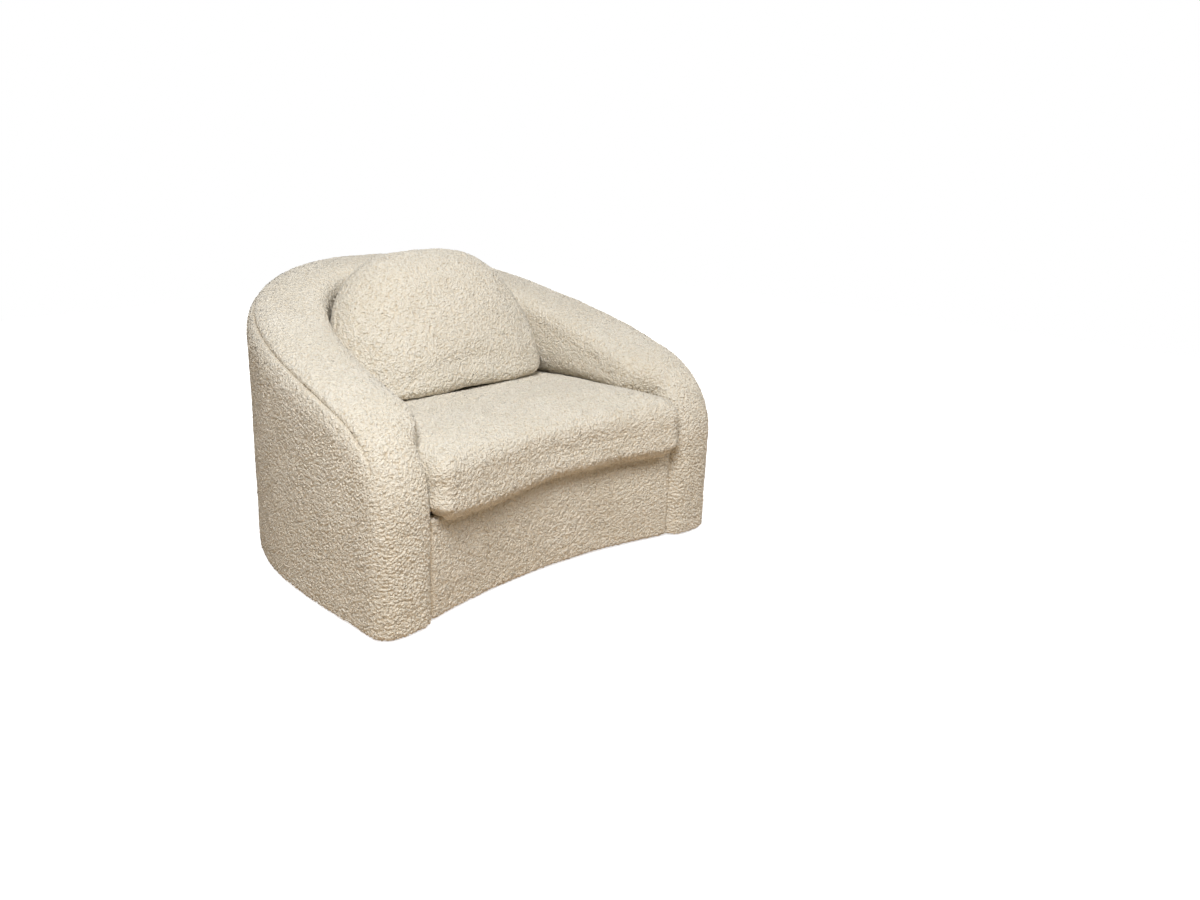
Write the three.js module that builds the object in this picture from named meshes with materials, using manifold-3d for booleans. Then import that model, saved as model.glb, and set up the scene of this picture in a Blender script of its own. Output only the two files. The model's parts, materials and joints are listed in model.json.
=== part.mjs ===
// Tub chair: a deep upholstered shell of one curved wall, low at the arm fronts and high at the back,
// round a loose seat cushion and a loose half-round back pillow.
// Millimetres, +Z up. The chair faces -Y and stands on z = 0, centred on the origin.
import * as THREE from 'three';
import Module from 'manifold-3d';
import { mergeVertices } from 'three/addons/utils/BufferGeometryUtils.js';

const wasm = await Module();
wasm.setup();

// Overall sizes
const overallWidth = 1204;
const overallDepth = 1016;
const wallThickness = 164;
const gap = 0.3;
const softGap = 0.5;
const looseGap = 1.2;
const cutOverrun = 5;

// Plan of the wall: straight arms, then a squarish half oval round the back
const cushionProud = 10;
const armStraight = 183;
const planFullnessShare = 2.74;
const quarterSteps = 12;

// Side outline: the arm front rises, rolls back over a waterfall and climbs to the back
const coverBottom = 8;
const frontRise = 292;
const armHeight = 540;
const backHeight = 775;
const armSlopeShare = 0.34;
const backSlopeShare = 0.41;
const waterfallLiftShare = 0.6;
const waterfallSteps = 6;

// Roll along the top of the wall and the rounded nose of each arm
const rollDepth = 85;
const innerRollDepth = 62;
const returnDepth = 112;
const bulgeStart = 450;
const bulgeRise = 90;
const rollReachAtArm = 140;
const rollReachAtBack = 128;
const crestShift = 16;
const noseDepth = 58;
const noseReturn = 66;
const rollFullnessShare = 2.66;
const noseFullnessShare = 2.87;

// Turns of the roll's rows, as shares of a quarter turn from its crest
const seamShare = 0.556;
const seamSplitShare = 0.004;
const outerRowShares = [0.28, 0.78];
const innerRowShares = [0.33, 0.67];
const returnRowShares = [0.33, 0.67, 1];
const coreCornerShares = [0.3, 0.5, 0.6];

// Layers of the wall
const coverThickness = 4;
const topFoam = 48;
const noseFoam = 34;
const outsideWadding = 8;
const insideFoam = 34;
const boardThickness = 4;

// Timber frame
const baseRailHeight = 26;
const frameBoard = 25;
const topRailHeight = 32;
const seatRailTop = 232;
const seatRailHeight = 80;
const seatRailProud = 14;
const railWidth = 36;
const ribPlaceShares = [0.145, 0.285, 0.395];
const railJointShare = 0.62;
const cornerBlockSide = 64;
const cornerBlockHeight = 60;

// Apron: the curved front under the seat, bowed in at its middle
const apronRecess = 24;
const apronBow = 57;
const apronTop = 268;
const apronWadding = 9;
const apronSteps = 14;
const frontBaseRailHeight = 60;

// Seat suspension and deck
const springCount = 5;
const springPitch = 140;
const springWire = 3.6;
const springSwing = 22;
const springBends = 14;
const springEndInset = 8;
const springBendShare = 0.7;
const springSides = 4;
const springStepsPerBend = 4;
const springClothThickness = 1.4;
const deckCoverThickness = 3;
const edgeRollWidth = 32;

// Dust cover and glides
const dustCoverThickness = 1.4;
const glideRadius = 16;
const glidePinRadius = 2;
const glidePinHeight = 24;
const glideSides = 12;
const pinSides = 8;
const glidePlaceShares = [0.085, 0.36];

// Seat cushion
const cushionHeight = 153;
const cushionCrown = 29;
const cushionEdge = 22;
const cushionSideClear = 6;
const cushionCorner = 24;
const cushionCornerShares = [0.39, 0.78];
const cushionHubShare = 0.53;
const lowerEdgeShares = [0.25, 0.4];
const upperEdgeShares = [0.25, 0.3];
const crownStartShare = 0.12;
const crownInset = 88;
const crownInsetShare = 0.62;
const plateauInset = 175;
const cushionBow = 50;
const boxingDrawIn = 9;
const cushionCoverThickness = 3;
const cushionBackArc = 560;
const cushionFrontSteps = 10;

// Back pillow: a half-round form leaning on the back roll
const pillowSideClear = 93;
const pillowRise = 460;
const pillowTuck = 70;
const pillowFrontSwell = 120;
const pillowBackSwell = 185;
const pillowLean = THREE.MathUtils.degToRad(24);
const pillowFullnessShare = 2.8;
const pillowSetForward = 433;
const pillowSink = 53;
const pillowCoverThickness = 3;
const pillowSteps = 36;
const pillowHubShare = 0.26;
const pillowRingShares = [0.35, 0.62, 0.82, 0.94];
const pillowFlatPower = 3;
const pillowSwellShare = 0.55;

// Zip fasteners of the two covers
const zipTapeHeight = 12;
const zipTapeThickness = 1.6;
const seatZipShare = 0.85817102;
const seatZipSlotDepth = 24;
const zipSteps = 10;
const pillowZipInset = 125;
const pillowZipBack = 120;
const sliderLength = 16;
const sliderHeight = 9;
const sliderThickness = 3;
const pullThickness = 1.2;
const pullLength = 24;

// Finishes
function finish(color, roughness, metalness = 0) {
  return new THREE.MeshStandardMaterial({ color, roughness, metalness });
}


const boucle = () => finish(0xe6dcc6, 0.95);
const tapeCloth = () => finish(0xd9cfb8, 0.85);
const blackCloth = () => finish(0x22211f, 0.95);
const foam = () => finish(0xe9dfb4, 0.9);
const wadding = () => finish(0xf1eee6, 0.98);
const hessian = () => finish(0xb39b74, 0.95);
const timber = () => finish(0xc89e6b, 0.7);
const board = () => finish(0xa98556, 0.8);
const springSteel = () => finish(0x5b6064, 0.4, 0.9);
const zipMetal = () => finish(0xb9b09a, 0.35, 0.85);
const nylon = () => finish(0x2a2827, 0.5);

// Derived places
const halfWall = wallThickness / 2;
const lineHalfSpan = overallWidth / 2 - halfWall;
const armFront = -overallDepth / 2 + cushionProud;
const ovalStart = armFront + armStraight;
const lineBack = overallDepth / 2 - halfWall;
const waddingOut = halfWall - coverThickness - softGap;
const coreOut = waddingOut - outsideWadding;
const boardOut = coreOut - gap;
const ribOut = boardOut - boardThickness - gap;
const coreIn = halfWall - coverThickness - softGap - insideFoam;
const boardIn = coreIn - gap;
const ribIn = boardIn - boardThickness - gap;
const armPocket = lineHalfSpan - halfWall;
const pillowHalfWidth = armPocket - pillowSideClear;
const pillowZipLength = 2 * (pillowHalfWidth - pillowZipInset);

const mix = (a, b, share) => a + (b - a) * share;
const smooth = (share) => share * share * (3 - 2 * share);
const raise = (value, power) => Math.sign(value) * Math.abs(value) ** power;

const chair = new THREE.Group();

function addPiece(name, geometry, material) {
  const mesh = new THREE.Mesh(geometry, material);
  mesh.name = name;
  chair.add(mesh);
  return mesh;
}

function toGeometry(points, triangles) {
  const geometry = new THREE.BufferGeometry();
  const places = points.flatMap((p) => [p.x, p.y, p.z]);
  geometry.setAttribute('position', new THREE.Float32BufferAttribute(places, 3));
  geometry.setIndex(triangles.flat());
  return geometry;
}

// The closed surface with its faces turned out
function facingOut(points, triangles) {
  const geometry = toGeometry(points, triangles);
  if (toSolid(geometry).volume() > 0) return geometry;
  return toGeometry(points, triangles.map(([a, b, c]) => [a, c, b]));
}

function toSolid(geometry) {
  const bare = geometry.clone();
  bare.deleteAttribute('normal');
  bare.deleteAttribute('uv');
  const merged = mergeVertices(bare);
  return new wasm.Manifold(
    new wasm.Mesh({
      numProp: 3,
      vertProperties: new Float32Array(merged.attributes.position.array),
      triVerts: new Uint32Array(merged.index.array),
    }),
  );
}

function fromSolid(solid) {
  const mesh = solid.getMesh();
  const geometry = new THREE.BufferGeometry();
  geometry.setAttribute('position', new THREE.BufferAttribute(new Float32Array(mesh.vertProperties), 3));
  geometry.setIndex(new THREE.BufferAttribute(new Uint32Array(mesh.triVerts), 1));
  return geometry;
}

const cutAway = (geometry, ...cutters) =>
  fromSolid(cutters.reduce((solid, cutter) => solid.subtract(toSolid(cutter)), toSolid(geometry)));

// A wall's plan line: points with an outward direction, and the distance run along it
class PlanLine {
  constructor(stations) {
    this.stations = stations;
    this.runs = [0];
    for (let i = 1; i < stations.length; i++) {
      const [a, b] = [stations[i - 1], stations[i]];
      this.runs.push(this.runs[i - 1] + Math.hypot(b.x - a.x, b.y - a.y));
    }
    this.length = this.runs.at(-1);
  }

  // The point at a run along the line, moved outward by an offset
  at(run, offset, z) {
    const { stations, runs } = this;
    let i = 1;
    while (i < runs.length - 1 && runs[i] < run) i++;
    const share = (run - runs[i - 1]) / (runs[i] - runs[i - 1]);
    const [a, b] = [stations[i - 1], stations[i]];
    return new THREE.Vector3(
      mix(a.x + a.nx * offset, b.x + b.nx * offset, share),
      mix(a.y + a.ny * offset, b.y + b.ny * offset, share),
      z,
    );
  }

  // The two ends of a stretch and every station between them
  stops(from, to) {
    return [from, ...this.runs.filter((run) => run > from + gap && run < to - gap), to];
  }
}

function wallStations() {
  const rise = lineBack - ovalStart;
  const half = [{ x: -lineHalfSpan, y: armFront, nx: -1, ny: 0 }];
  for (let k = 0; k <= quarterSteps; k++) {
    const turn = (k / quarterSteps) * (Math.PI / 2);
    const across = k === quarterSteps ? 0 : Math.cos(turn) ** (2 / planFullnessShare);
    const along = Math.sin(turn) ** (2 / planFullnessShare);
    const nx = -(across ** (planFullnessShare - 1)) / lineHalfSpan;
    const ny = along ** (planFullnessShare - 1) / rise;
    const size = Math.hypot(nx, ny);
    half.push({ x: -lineHalfSpan * across, y: ovalStart + rise * along, nx: nx / size, ny: ny / size });
  }
  const mirrored = half.slice(0, -1).reverse();
  return half.concat(mirrored.map((p) => ({ x: -p.x, y: p.y, nx: -p.nx, ny: p.ny })));
}

const wall = new PlanLine(wallStations());
const middleRun = wall.length / 2;

function apronLine() {
  const stations = [];
  const halfSpan = armPocket - softGap;
  for (let k = 0; k <= apronSteps; k++) {
    const share = (2 * k) / apronSteps - 1;
    const y = armFront + apronRecess + apronBow * (1 - share * share);
    stations.push({ x: halfSpan * share, y, nx: 0, ny: -1 });
  }
  return new PlanLine(stations);
}

const apron = apronLine();

// Height of the crest of the roll at a place along the chair's depth
function crestHeight(y) {
  const start = ovalStart;
  const span = lineBack - start;
  const t = THREE.MathUtils.clamp((y - start) / span, 0, 1);
  const [t2, t3] = [t * t, t * t * t];
  return (
    armHeight * (2 * t3 - 3 * t2 + 1) +
    span * armSlopeShare * (t3 - 2 * t2 + t) +
    backHeight * (3 * t2 - 2 * t3) +
    span * backSlopeShare * (t3 - t2)
  );
}

// Columns of the wall's section from the left arm's foot, up its nose, over the waterfall and on
// along the crest. Each has the crest point (run, z), the inward direction (along, down) and how far
// it is from nose to roll.
function wallColumns() {
  const noseLevels = [coverBottom, seatRailTop, frontRise];
  const columns = noseLevels.map((z) => ({ run: 0, z, along: 1, down: 0, roll: 0 }));
  const lift = mix(frontRise, armHeight, waterfallLiftShare);
  const curve = new THREE.CubicBezierCurve(
    new THREE.Vector2(0, frontRise),
    new THREE.Vector2(0, lift),
    new THREE.Vector2(armStraight / 2, armHeight - (armSlopeShare * armStraight) / 2),
    new THREE.Vector2(armStraight, armHeight),
  );
  for (let k = 1; k < waterfallSteps; k++) {
    const share = k / waterfallSteps;
    const point = curve.getPoint(share);
    const turn = share * (Math.PI / 2);
    columns.push({ run: point.x, z: point.y, along: Math.cos(turn), down: Math.sin(turn), roll: share });
  }
  for (let k = 0; k <= quarterSteps; k++) {
    const { y } = wall.stations[k + 1];
    columns.push({ run: wall.runs[k + 1], z: crestHeight(y), along: 0, down: 1, roll: 1 });
  }
  return columns;
}

const columns = wallColumns();
const noseColumns = 3;
const deckColumn = 1;

// Rows of the section, from the outside foot of the roll over the crest to the inside return.
// core is the place of the row on the frame's wrap: share of its own depth, share of the half width.
const quarterTurn = Math.PI / 2;
const outerRow = (share, core) => ({ side: 'outer', turn: share * quarterTurn, core });
const innerRow = (share, core) => ({ side: 'inner', turn: share * quarterTurn, core });
const returnRow = (share) => ({ side: 'return', share, core: [1, -1] });
const [shoulder, haunch] = outerRowShares;
const [brow, cheek] = innerRowShares;
const [coreShoulder, coreBrow, coreSeam] = coreCornerShares;
const crownRows = [
  outerRow(shoulder, [0, coreShoulder]),
  innerRow(0, [0, 0]),
  innerRow(brow, [0, -coreBrow]),
  innerRow(cheek, [0, -1]),
  innerRow(1, [1, -1]),
  ...returnRowShares.map(returnRow),
];
const footRows = [outerRow(1, [1, 1]), outerRow(haunch, [0, 1])];
const rollRows = [outerRow(seamShare - seamSplitShare, [0, coreSeam]), ...crownRows];
const outsideRows = [...footRows, outerRow(seamShare + seamSplitShare, [0, coreSeam])];
const foamRows = [...footRows, outerRow(seamShare, [0, coreSeam]), ...crownRows];

const rollShape = (column) => {
  const pastArm = Math.max(0, column.run - armStraight) / middleRun;
  const reach = mix(rollReachAtArm, rollReachAtBack, smooth(pastArm));
  const swell = smooth(THREE.MathUtils.clamp((column.z - bulgeStart) / bulgeRise, 0, 1));
  return {
    fullness: mix(noseFullnessShare, rollFullnessShare, column.roll),
    outerDepth: mix(noseDepth, rollDepth, column.roll),
    innerDepth: mix(noseDepth, innerRollDepth, column.roll),
    returnDepth: mix(noseReturn, returnDepth, column.roll),
    reach: mix(halfWall, reach, swell),
    crest: -crestShift * column.roll,
    coreDepth: mix(noseFoam, topFoam, column.roll),
  };
};

// Depth under the crest and offset from the wall line of one row, on a surface a layer under the cover's face
function rowPlace(row, column, layer) {
  const shape = rollShape(column);
  if (row.side === 'return') {
    const share = row.share;
    const depth = mix(shape.innerDepth, shape.returnDepth, share);
    return { depth, offset: -mix(shape.reach - layer, halfWall - layer, smooth(share)) };
  }
  const outer = row.side === 'outer';
  const power = 2 / shape.fullness;
  const span = outer ? halfWall - layer - shape.crest : -(shape.reach - layer) - shape.crest;
  const most = (outer ? shape.outerDepth : shape.innerDepth) - layer;
  const cosine = row.turn < quarterTurn ? Math.cos(row.turn) : 0;
  return {
    depth: layer + most * (1 - cosine ** power),
    offset: shape.crest + span * Math.sin(row.turn) ** power,
  };
}

// The same row on the channel that the frame fills
function corePlace(row, column, layer) {
  const own = rowPlace(row, column, layer);
  const depth = row.core[0] ? own.depth : rollShape(column).coreDepth;
  return { depth, offset: row.core[1] * (row.core[1] > 0 ? coreOut : coreIn) };
}

const columnPoint = (column, { depth, offset }) =>
  wall.at(column.run + column.along * depth, offset, column.z - column.down * depth);

// A piece of the wall's skin as a grid of points. The right half mirrors the left.
// place gives each point; outerWall and innerWall drop straight walls from the first and last rows.
function skinGrid(rows, place, { outerWall, innerWall }) {
  const points = [];
  const quads = [];
  const count = 2 * columns.length - 1;
  const leftOf = (i) => (i < columns.length ? i : count - 1 - i);
  const mirror = (i, p) => (i < columns.length ? p : new THREE.Vector3(-p.x, p.y, p.z));
  for (let i = 0; i < count; i++) {
    const column = columns[leftOf(i)];
    rows.forEach((row) => points.push(mirror(i, columnPoint(column, place(row, column)))));
  }
  const strip = (i, j) => i * rows.length + j;
  for (let i = 0; i < count - 1; i++) {
    for (let j = 0; j < rows.length - 1; j++) {
      quads.push([strip(i, j), strip(i, j + 1), strip(i + 1, j + 1), strip(i + 1, j)]);
    }
  }
  const dropWall = (row, firstColumn, bottom, inward) => {
    const levels = noseColumns - 1 - firstColumn;
    const edge = noseColumns - 1;
    const index = (i, k) => {
      if (i === edge) return strip(firstColumn + k, row);
      if (i === count - 1 - edge) return strip(count - 1 - firstColumn - k, row);
      return k === levels ? strip(i, row) : base + (i - edge - 1) * levels + k;
    };
    const base = points.length;
    for (let i = edge + 1; i < count - 1 - edge; i++) {
      const top = points[strip(i, row)];
      for (let k = 0; k < levels; k++) {
        points.push(new THREE.Vector3(top.x, top.y, mix(bottom, top.z, k / levels)));
      }
    }
    for (let i = edge; i < count - 1 - edge; i++) {
      for (let k = 0; k < levels; k++) {
        const quad = [index(i, k), index(i, k + 1), index(i + 1, k + 1), index(i + 1, k)];
        quads.push(inward ? quad.reverse() : quad);
      }
    }
  };
  if (outerWall) dropWall(0, 0, coverBottom, false);
  if (innerWall) dropWall(rows.length - 1, deckColumn, seatRailTop + gap, true);
  return { points, quads };
}

// A closed sheet between two grids of the same layout: front faces, back faces and the rim between them
function thicken(front, back) {
  const total = front.points.length;
  const triangles = [];
  const rim = new Map();
  for (const [a, b, c, d] of front.quads) {
    triangles.push([a, b, c], [a, c, d]);
    triangles.push([total + a, total + c, total + b], [total + a, total + d, total + c]);
    for (const [from, to] of [[a, b], [b, c], [c, d], [d, a]]) {
      if (!rim.delete(to + '_' + from)) rim.set(from + '_' + to, [from, to]);
    }
  }
  for (const [from, to] of rim.values()) {
    triangles.push([to, from, total + from], [to, total + from, total + to]);
  }
  return toGeometry(front.points.concat(back.points), triangles);
}

// Height of a curve that runs a given depth inside the crest, by the run along the wall
function crestCurve(depthOf) {
  const stops = columns.slice(noseColumns - 1).map((column) => {
    const depth = depthOf(column);
    return [column.run + column.along * depth, column.z - column.down * depth];
  });
  return (run) => {
    const near = Math.min(run, wall.length - run);
    let i = 1;
    while (i < stops.length - 1 && stops[i][0] < near) i++;
    const [a, b] = [stops[i - 1], stops[i]];
    return mix(a[1], b[1], (near - a[0]) / (b[0] - a[0]));
  };
}

const frameTop = crestCurve((column) => rollShape(column).coreDepth);
const rollFoot = crestCurve((column) => rollShape(column).outerDepth);
const returnFoot = crestCurve((column) => rollShape(column).returnDepth);
const level = (z) => () => z;

// A straight-sided member that follows a plan line between two runs and two offsets
function sweptMember(line, from, to, inside, outside, bottom, top) {
  const points = [];
  const triangles = [];
  const stops = line.stops(from, to);
  for (const run of stops) {
    points.push(line.at(run, inside, bottom(run)), line.at(run, outside, bottom(run)));
    points.push(line.at(run, outside, top(run)), line.at(run, inside, top(run)));
  }
  for (let i = 0; i < stops.length - 1; i++) {
    for (let k = 0; k < 4; k++) {
      const [a, b] = [4 * i + k, 4 * i + ((k + 1) % 4)];
      triangles.push([a, b, b + 4], [a, b + 4, a + 4]);
    }
  }
  const last = 4 * (stops.length - 1);
  triangles.push([0, 2, 1], [0, 3, 2], [last, last + 1, last + 2], [last, last + 2, last + 3]);
  return facingOut(points, triangles);
}

// A flat sheet cut to an outline
function sheet(outline, bottom, thickness) {
  const shape = new THREE.Shape(outline.map((p) => new THREE.Vector2(p.x, p.y)));
  return new THREE.ExtrudeGeometry(shape, { depth: thickness, bevelEnabled: false }).translate(0, 0, bottom);
}

// Upholstery covers of the fixed shell
const faceLayer = (row, column) => rowPlace(row, column, 0);
const linedLayer = (row, column) => rowPlace(row, column, coverThickness);
const foamLayer = coverThickness + softGap;

function buildShellCovers() {
  const inner = { innerWall: true };
  const outer = { outerWall: true };
  addPiece(
    'inside_and_roll_cover',
    thicken(skinGrid(rollRows, faceLayer, inner), skinGrid(rollRows, linedLayer, inner)),
    boucle(),
  );
  addPiece(
    'outside_cover',
    thicken(skinGrid(outsideRows, faceLayer, outer), skinGrid(outsideRows, linedLayer, outer)),
    boucle(),
  );
}

// Padding: the moulded roll over the crest and noses, the lining pad and the outside wadding
function buildShellPadding() {
  const padFace = skinGrid(foamRows, (row, column) => rowPlace(row, column, foamLayer), {});
  const padBack = skinGrid(foamRows, (row, column) => corePlace(row, column, foamLayer), {});
  addPiece('roll_foam', thicken(padFace, padBack), foam());
  const waddingEnd = noseDepth + softGap;
  const waddingTop = (run) => rollFoot(run) - softGap;
  const waddingRuns = [waddingEnd, wall.length - waddingEnd];
  addPiece(
    'outside_wadding',
    sweptMember(wall, ...waddingRuns, coreOut, waddingOut, level(coverBottom), waddingTop),
    wadding(),
  );
  const liningEnd = noseReturn + softGap;
  const liningFace = halfWall - foamLayer;
  const liningTop = (run) => returnFoot(run) - softGap;
  const liningRuns = [liningEnd, wall.length - liningEnd];
  addPiece(
    'lining_foam',
    sweptMember(wall, ...liningRuns, -liningFace, -coreIn, level(seatRailTop + gap), liningTop),
    foam(),
  );
}

// Backing boards that carry the padding between the ribs
const baseBottom = coverBottom + dustCoverThickness + 2 * gap;
const boardStart = noseFoam + gap + frameBoard + gap;
const railTop = (run) => frameTop(run) - looseGap;
const railUnder = (run) => railTop(run) - topRailHeight;

function buildBackingBoards() {
  const boards = [
    ['outside_board', boardOut - boardThickness, boardOut, baseBottom],
    ['inside_board', -boardIn, boardThickness - boardIn, seatRailTop + gap],
  ];
  for (const [name, inside, outside, bottom] of boards) {
    const runs = [boardStart, wall.length - boardStart];
    addPiece(name, sweptMember(wall, ...runs, inside, outside, level(bottom), railTop), board());
  }
}

// Base ring, seat rails, top rails, ribs and arm front boards
const baseTop = baseBottom + baseRailHeight;
const cornerRun = middleRun * railJointShare;

function sideStretches(start) {
  return [
    ['left', start, cornerRun - gap / 2],
    ['back', cornerRun + gap / 2, wall.length - cornerRun - gap / 2],
    ['right', wall.length - cornerRun + gap / 2, wall.length - start],
  ];
}

const mirroredRuns = (share) => [share * wall.length, (1 - share) * wall.length];
const glideRuns = glidePlaceShares.flatMap(mirroredRuns);
const glideSpots = glideRuns.map((run) => wall.at(run, (ribOut - ribIn) / 2, 0));

function glidePinHole(spot) {
  const depth = glidePinHeight + cutOverrun;
  const radius = glidePinRadius + gap;
  const hole = new THREE.CylinderGeometry(radius, radius, depth, pinSides);
  return hole.rotateX(Math.PI / 2).translate(spot.x, spot.y, baseBottom - cutOverrun + depth / 2);
}

const apronStack = coverThickness + apronWadding + boardThickness + 3 * gap + railWidth;
const apronBackAt = (x) => armFront + apronRecess + apronBow * (1 - (x / armPocket) ** 2) + apronStack;
const seatRailFace = halfWall + seatRailProud;
const sideRailStart = apronBackAt(lineHalfSpan - seatRailFace) - armFront + 2 * gap;

function buildFrame() {
  for (const [side, from, to] of sideStretches(boardStart)) {
    const ring = sweptMember(wall, from, to, -ribIn, ribOut, level(baseBottom), level(baseTop));
    const holes = glideSpots.filter((_, k) => glideRuns[k] > from && glideRuns[k] < to).map(glidePinHole);
    addPiece(side + '_base_rail', holes.length ? cutAway(ring, ...holes) : ring, timber());
    const topRail = sweptMember(wall, from, to, -ribIn, ribOut, railUnder, railTop);
    addPiece(side + '_top_rail', topRail, timber());
  }
  for (const [side, from, to] of sideStretches(sideRailStart)) {
    const bottom = level(seatRailTop - seatRailHeight);
    const seatRail = sweptMember(wall, from, to, -seatRailFace, -ribIn - gap, bottom, level(seatRailTop));
    addPiece(side + '_seat_rail', seatRail, timber());
  }
  const ribBottom = level(baseTop + gap);
  const ribTop = (run) => railUnder(run) - looseGap;
  const ribs = [['back_middle_rib', middleRun]];
  ['arm_rib', 'rear_arm_rib', 'back_rib'].forEach((name, k) => {
    const [left, right] = mirroredRuns(ribPlaceShares[k]);
    ribs.push(['left_' + name, left], ['right_' + name, right]);
  });
  for (const [name, run] of ribs) {
    const [from, to] = [run - frameBoard / 2, run + frameBoard / 2];
    addPiece(name, sweptMember(wall, from, to, -ribIn, ribOut, ribBottom, ribTop), timber());
  }
  const noseBack = noseFoam + gap + frameBoard;
  for (const [side, from, to] of [
    ['left', noseFoam + gap, noseBack],
    ['right', wall.length - noseBack, wall.length - noseFoam - gap],
  ]) {
    const frontBoard = sweptMember(wall, from, to, -boardIn, boardOut, level(baseBottom), railTop);
    addPiece(side + '_arm_front_board', frontBoard, timber());
  }
}

// Apron: cover with a top flange, wadding, board, seat rail and base rail, all along the bowed line
function apronSection(points) {
  const outline = points.map(([offset, z]) => new THREE.Vector2(offset, z));
  const faces = THREE.ShapeUtils.triangulateShape(outline, []);
  const all = apron.runs.flatMap((run) => outline.map((p) => apron.at(run, p.x, p.y)));
  const triangles = [];
  const n = outline.length;
  for (let i = 0; i < apron.runs.length - 1; i++) {
    for (let k = 0; k < n; k++) {
      const [a, b] = [n * i + k, n * i + ((k + 1) % n)];
      triangles.push([a, b, b + n], [a, b + n, a + n]);
    }
  }
  const last = n * (apron.runs.length - 1);
  for (const [a, b, c] of faces) triangles.push([a, c, b], [last + a, last + b, last + c]);
  return facingOut(all, triangles);
}

const apronLip = coverThickness + apronWadding + boardThickness + edgeRollWidth;

function buildApron() {
  const full = [0, apron.length];
  const under = apronTop - coverThickness;
  const layerFace = -coverThickness - gap;
  const boardFace = layerFace - apronWadding - gap;
  const railFace = boardFace - boardThickness - gap;
  addPiece(
    'apron_cover',
    apronSection([
      [-coverThickness, coverBottom],
      [0, coverBottom],
      [0, apronTop - coverThickness],
      [-coverThickness, apronTop],
      [-apronLip, apronTop],
      [-apronLip, under],
      [-coverThickness, under],
    ]),
    boucle(),
  );
  const apronFoot = level(coverBottom);
  const waddingTop = level(seatRailTop);
  const apronLayer = (inside, outside) => sweptMember(apron, ...full, inside, outside, apronFoot, waddingTop);
  addPiece('apron_wadding', apronLayer(layerFace - apronWadding, layerFace), wadding());
  addPiece('apron_board', apronLayer(boardFace - boardThickness, boardFace), board());
  const frontRails = [
    ['front_seat_rail', seatRailTop - seatRailHeight, seatRailTop],
    ['front_base_rail', baseBottom, baseBottom + frontBaseRailHeight],
  ];
  for (const [name, bottom, top] of frontRails) {
    const rail = sweptMember(apron, ...full, railFace - railWidth, railFace, level(bottom), level(top));
    addPiece(name, rail, timber());
  }
  const edgeBottom = level(seatRailTop + 3 * gap + springWire + springClothThickness);
  const edgeTop = level(under - gap);
  const edgeRoll = sweptMember(apron, ...full, layerFace - edgeRollWidth, layerFace, edgeBottom, edgeTop);
  addPiece('front_edge_roll', edgeRoll, foam());
}

// Glue blocks in the two front corners of the seat frame
function buildCornerBlocks() {
  const side = lineHalfSpan - seatRailFace - gap;
  const reach = side - cornerBlockSide;
  const seat = 2 * gap;
  for (const [name, sign] of [['left', -1], ['right', 1]]) {
    const outline = [
      new THREE.Vector2(sign * side, apronBackAt(side) + seat),
      new THREE.Vector2(sign * reach, apronBackAt(reach) + seat),
      new THREE.Vector2(sign * side, apronBackAt(side) + cornerBlockSide),
    ];
    const bottom = seatRailTop - (seatRailHeight + cornerBlockHeight) / 2;
    addPiece(name + '_corner_block', sheet(outline, bottom, cornerBlockHeight), timber());
  }
}

// Where a front-to-back line at x meets a wall offset at the back
function backAt(x, offset) {
  for (let i = 2; i < wall.stations.length; i++) {
    const [a, b] = [wall.stations[i - 1], wall.stations[i]];
    const [ax, bx] = [a.x + a.nx * offset, b.x + b.nx * offset];
    const [ay, by] = [a.y + a.ny * offset, b.y + b.ny * offset];
    if (ay + by > 0 && ax <= x && bx >= x) return mix(ay, by, (x - ax) / (bx - ax));
  }
  return lineBack;
}

// Zig-zag seat springs, stretched from the front rail to the back rail
class ZigZag extends THREE.Curve {
  constructor(x, front, back, z) {
    super();
    Object.assign(this, { x, front, back, z });
  }

  getPoint(t, target = new THREE.Vector3()) {
    const wave = Math.sin(t * springBends * Math.PI);
    const across = this.x + springSwing * raise(wave, springBendShare);
    return target.set(across, mix(this.front, this.back, t), this.z);
  }
}

const springLevel = seatRailTop + gap + springWire / 2;

function buildSprings() {
  const section = new THREE.Shape();
  for (let k = 0; k < springSides; k++) {
    const turn = ((k + 0.5) / springSides) * 2 * Math.PI;
    const radius = springWire / 2 / Math.cos(Math.PI / springSides);
    section[k ? 'lineTo' : 'moveTo'](radius * Math.cos(turn), radius * Math.sin(turn));
  }
  for (let k = 0; k < springCount; k++) {
    const x = (k - (springCount - 1) / 2) * springPitch;
    const front = apronBackAt(x) - railWidth + springEndInset;
    const back = backAt(x, -seatRailFace) + springEndInset / 2;
    const path = new ZigZag(x, front, back, springLevel);
    const steps = springBends * springStepsPerBend;
    const wire = new THREE.ExtrudeGeometry(section, { steps, extrudePath: path, bevelEnabled: false });
    addPiece('seat_spring_' + (k + 1), wire, springSteel());
  }
}

// Plan outline inside the walls, closed along the apron a set distance behind its face
function wellOutline(offset, setBack, startRun) {
  const outline = wall.stops(startRun, wall.length - startRun).map((run) => wall.at(run, offset, 0));
  const half = Math.abs(outline[0].x);
  for (const run of apron.stops(0, apron.length).reverse()) {
    const p = apron.at(run, -setBack, 0);
    if (Math.abs(p.x) < half - softGap) outline.push(p);
  }
  return outline;
}

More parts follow.
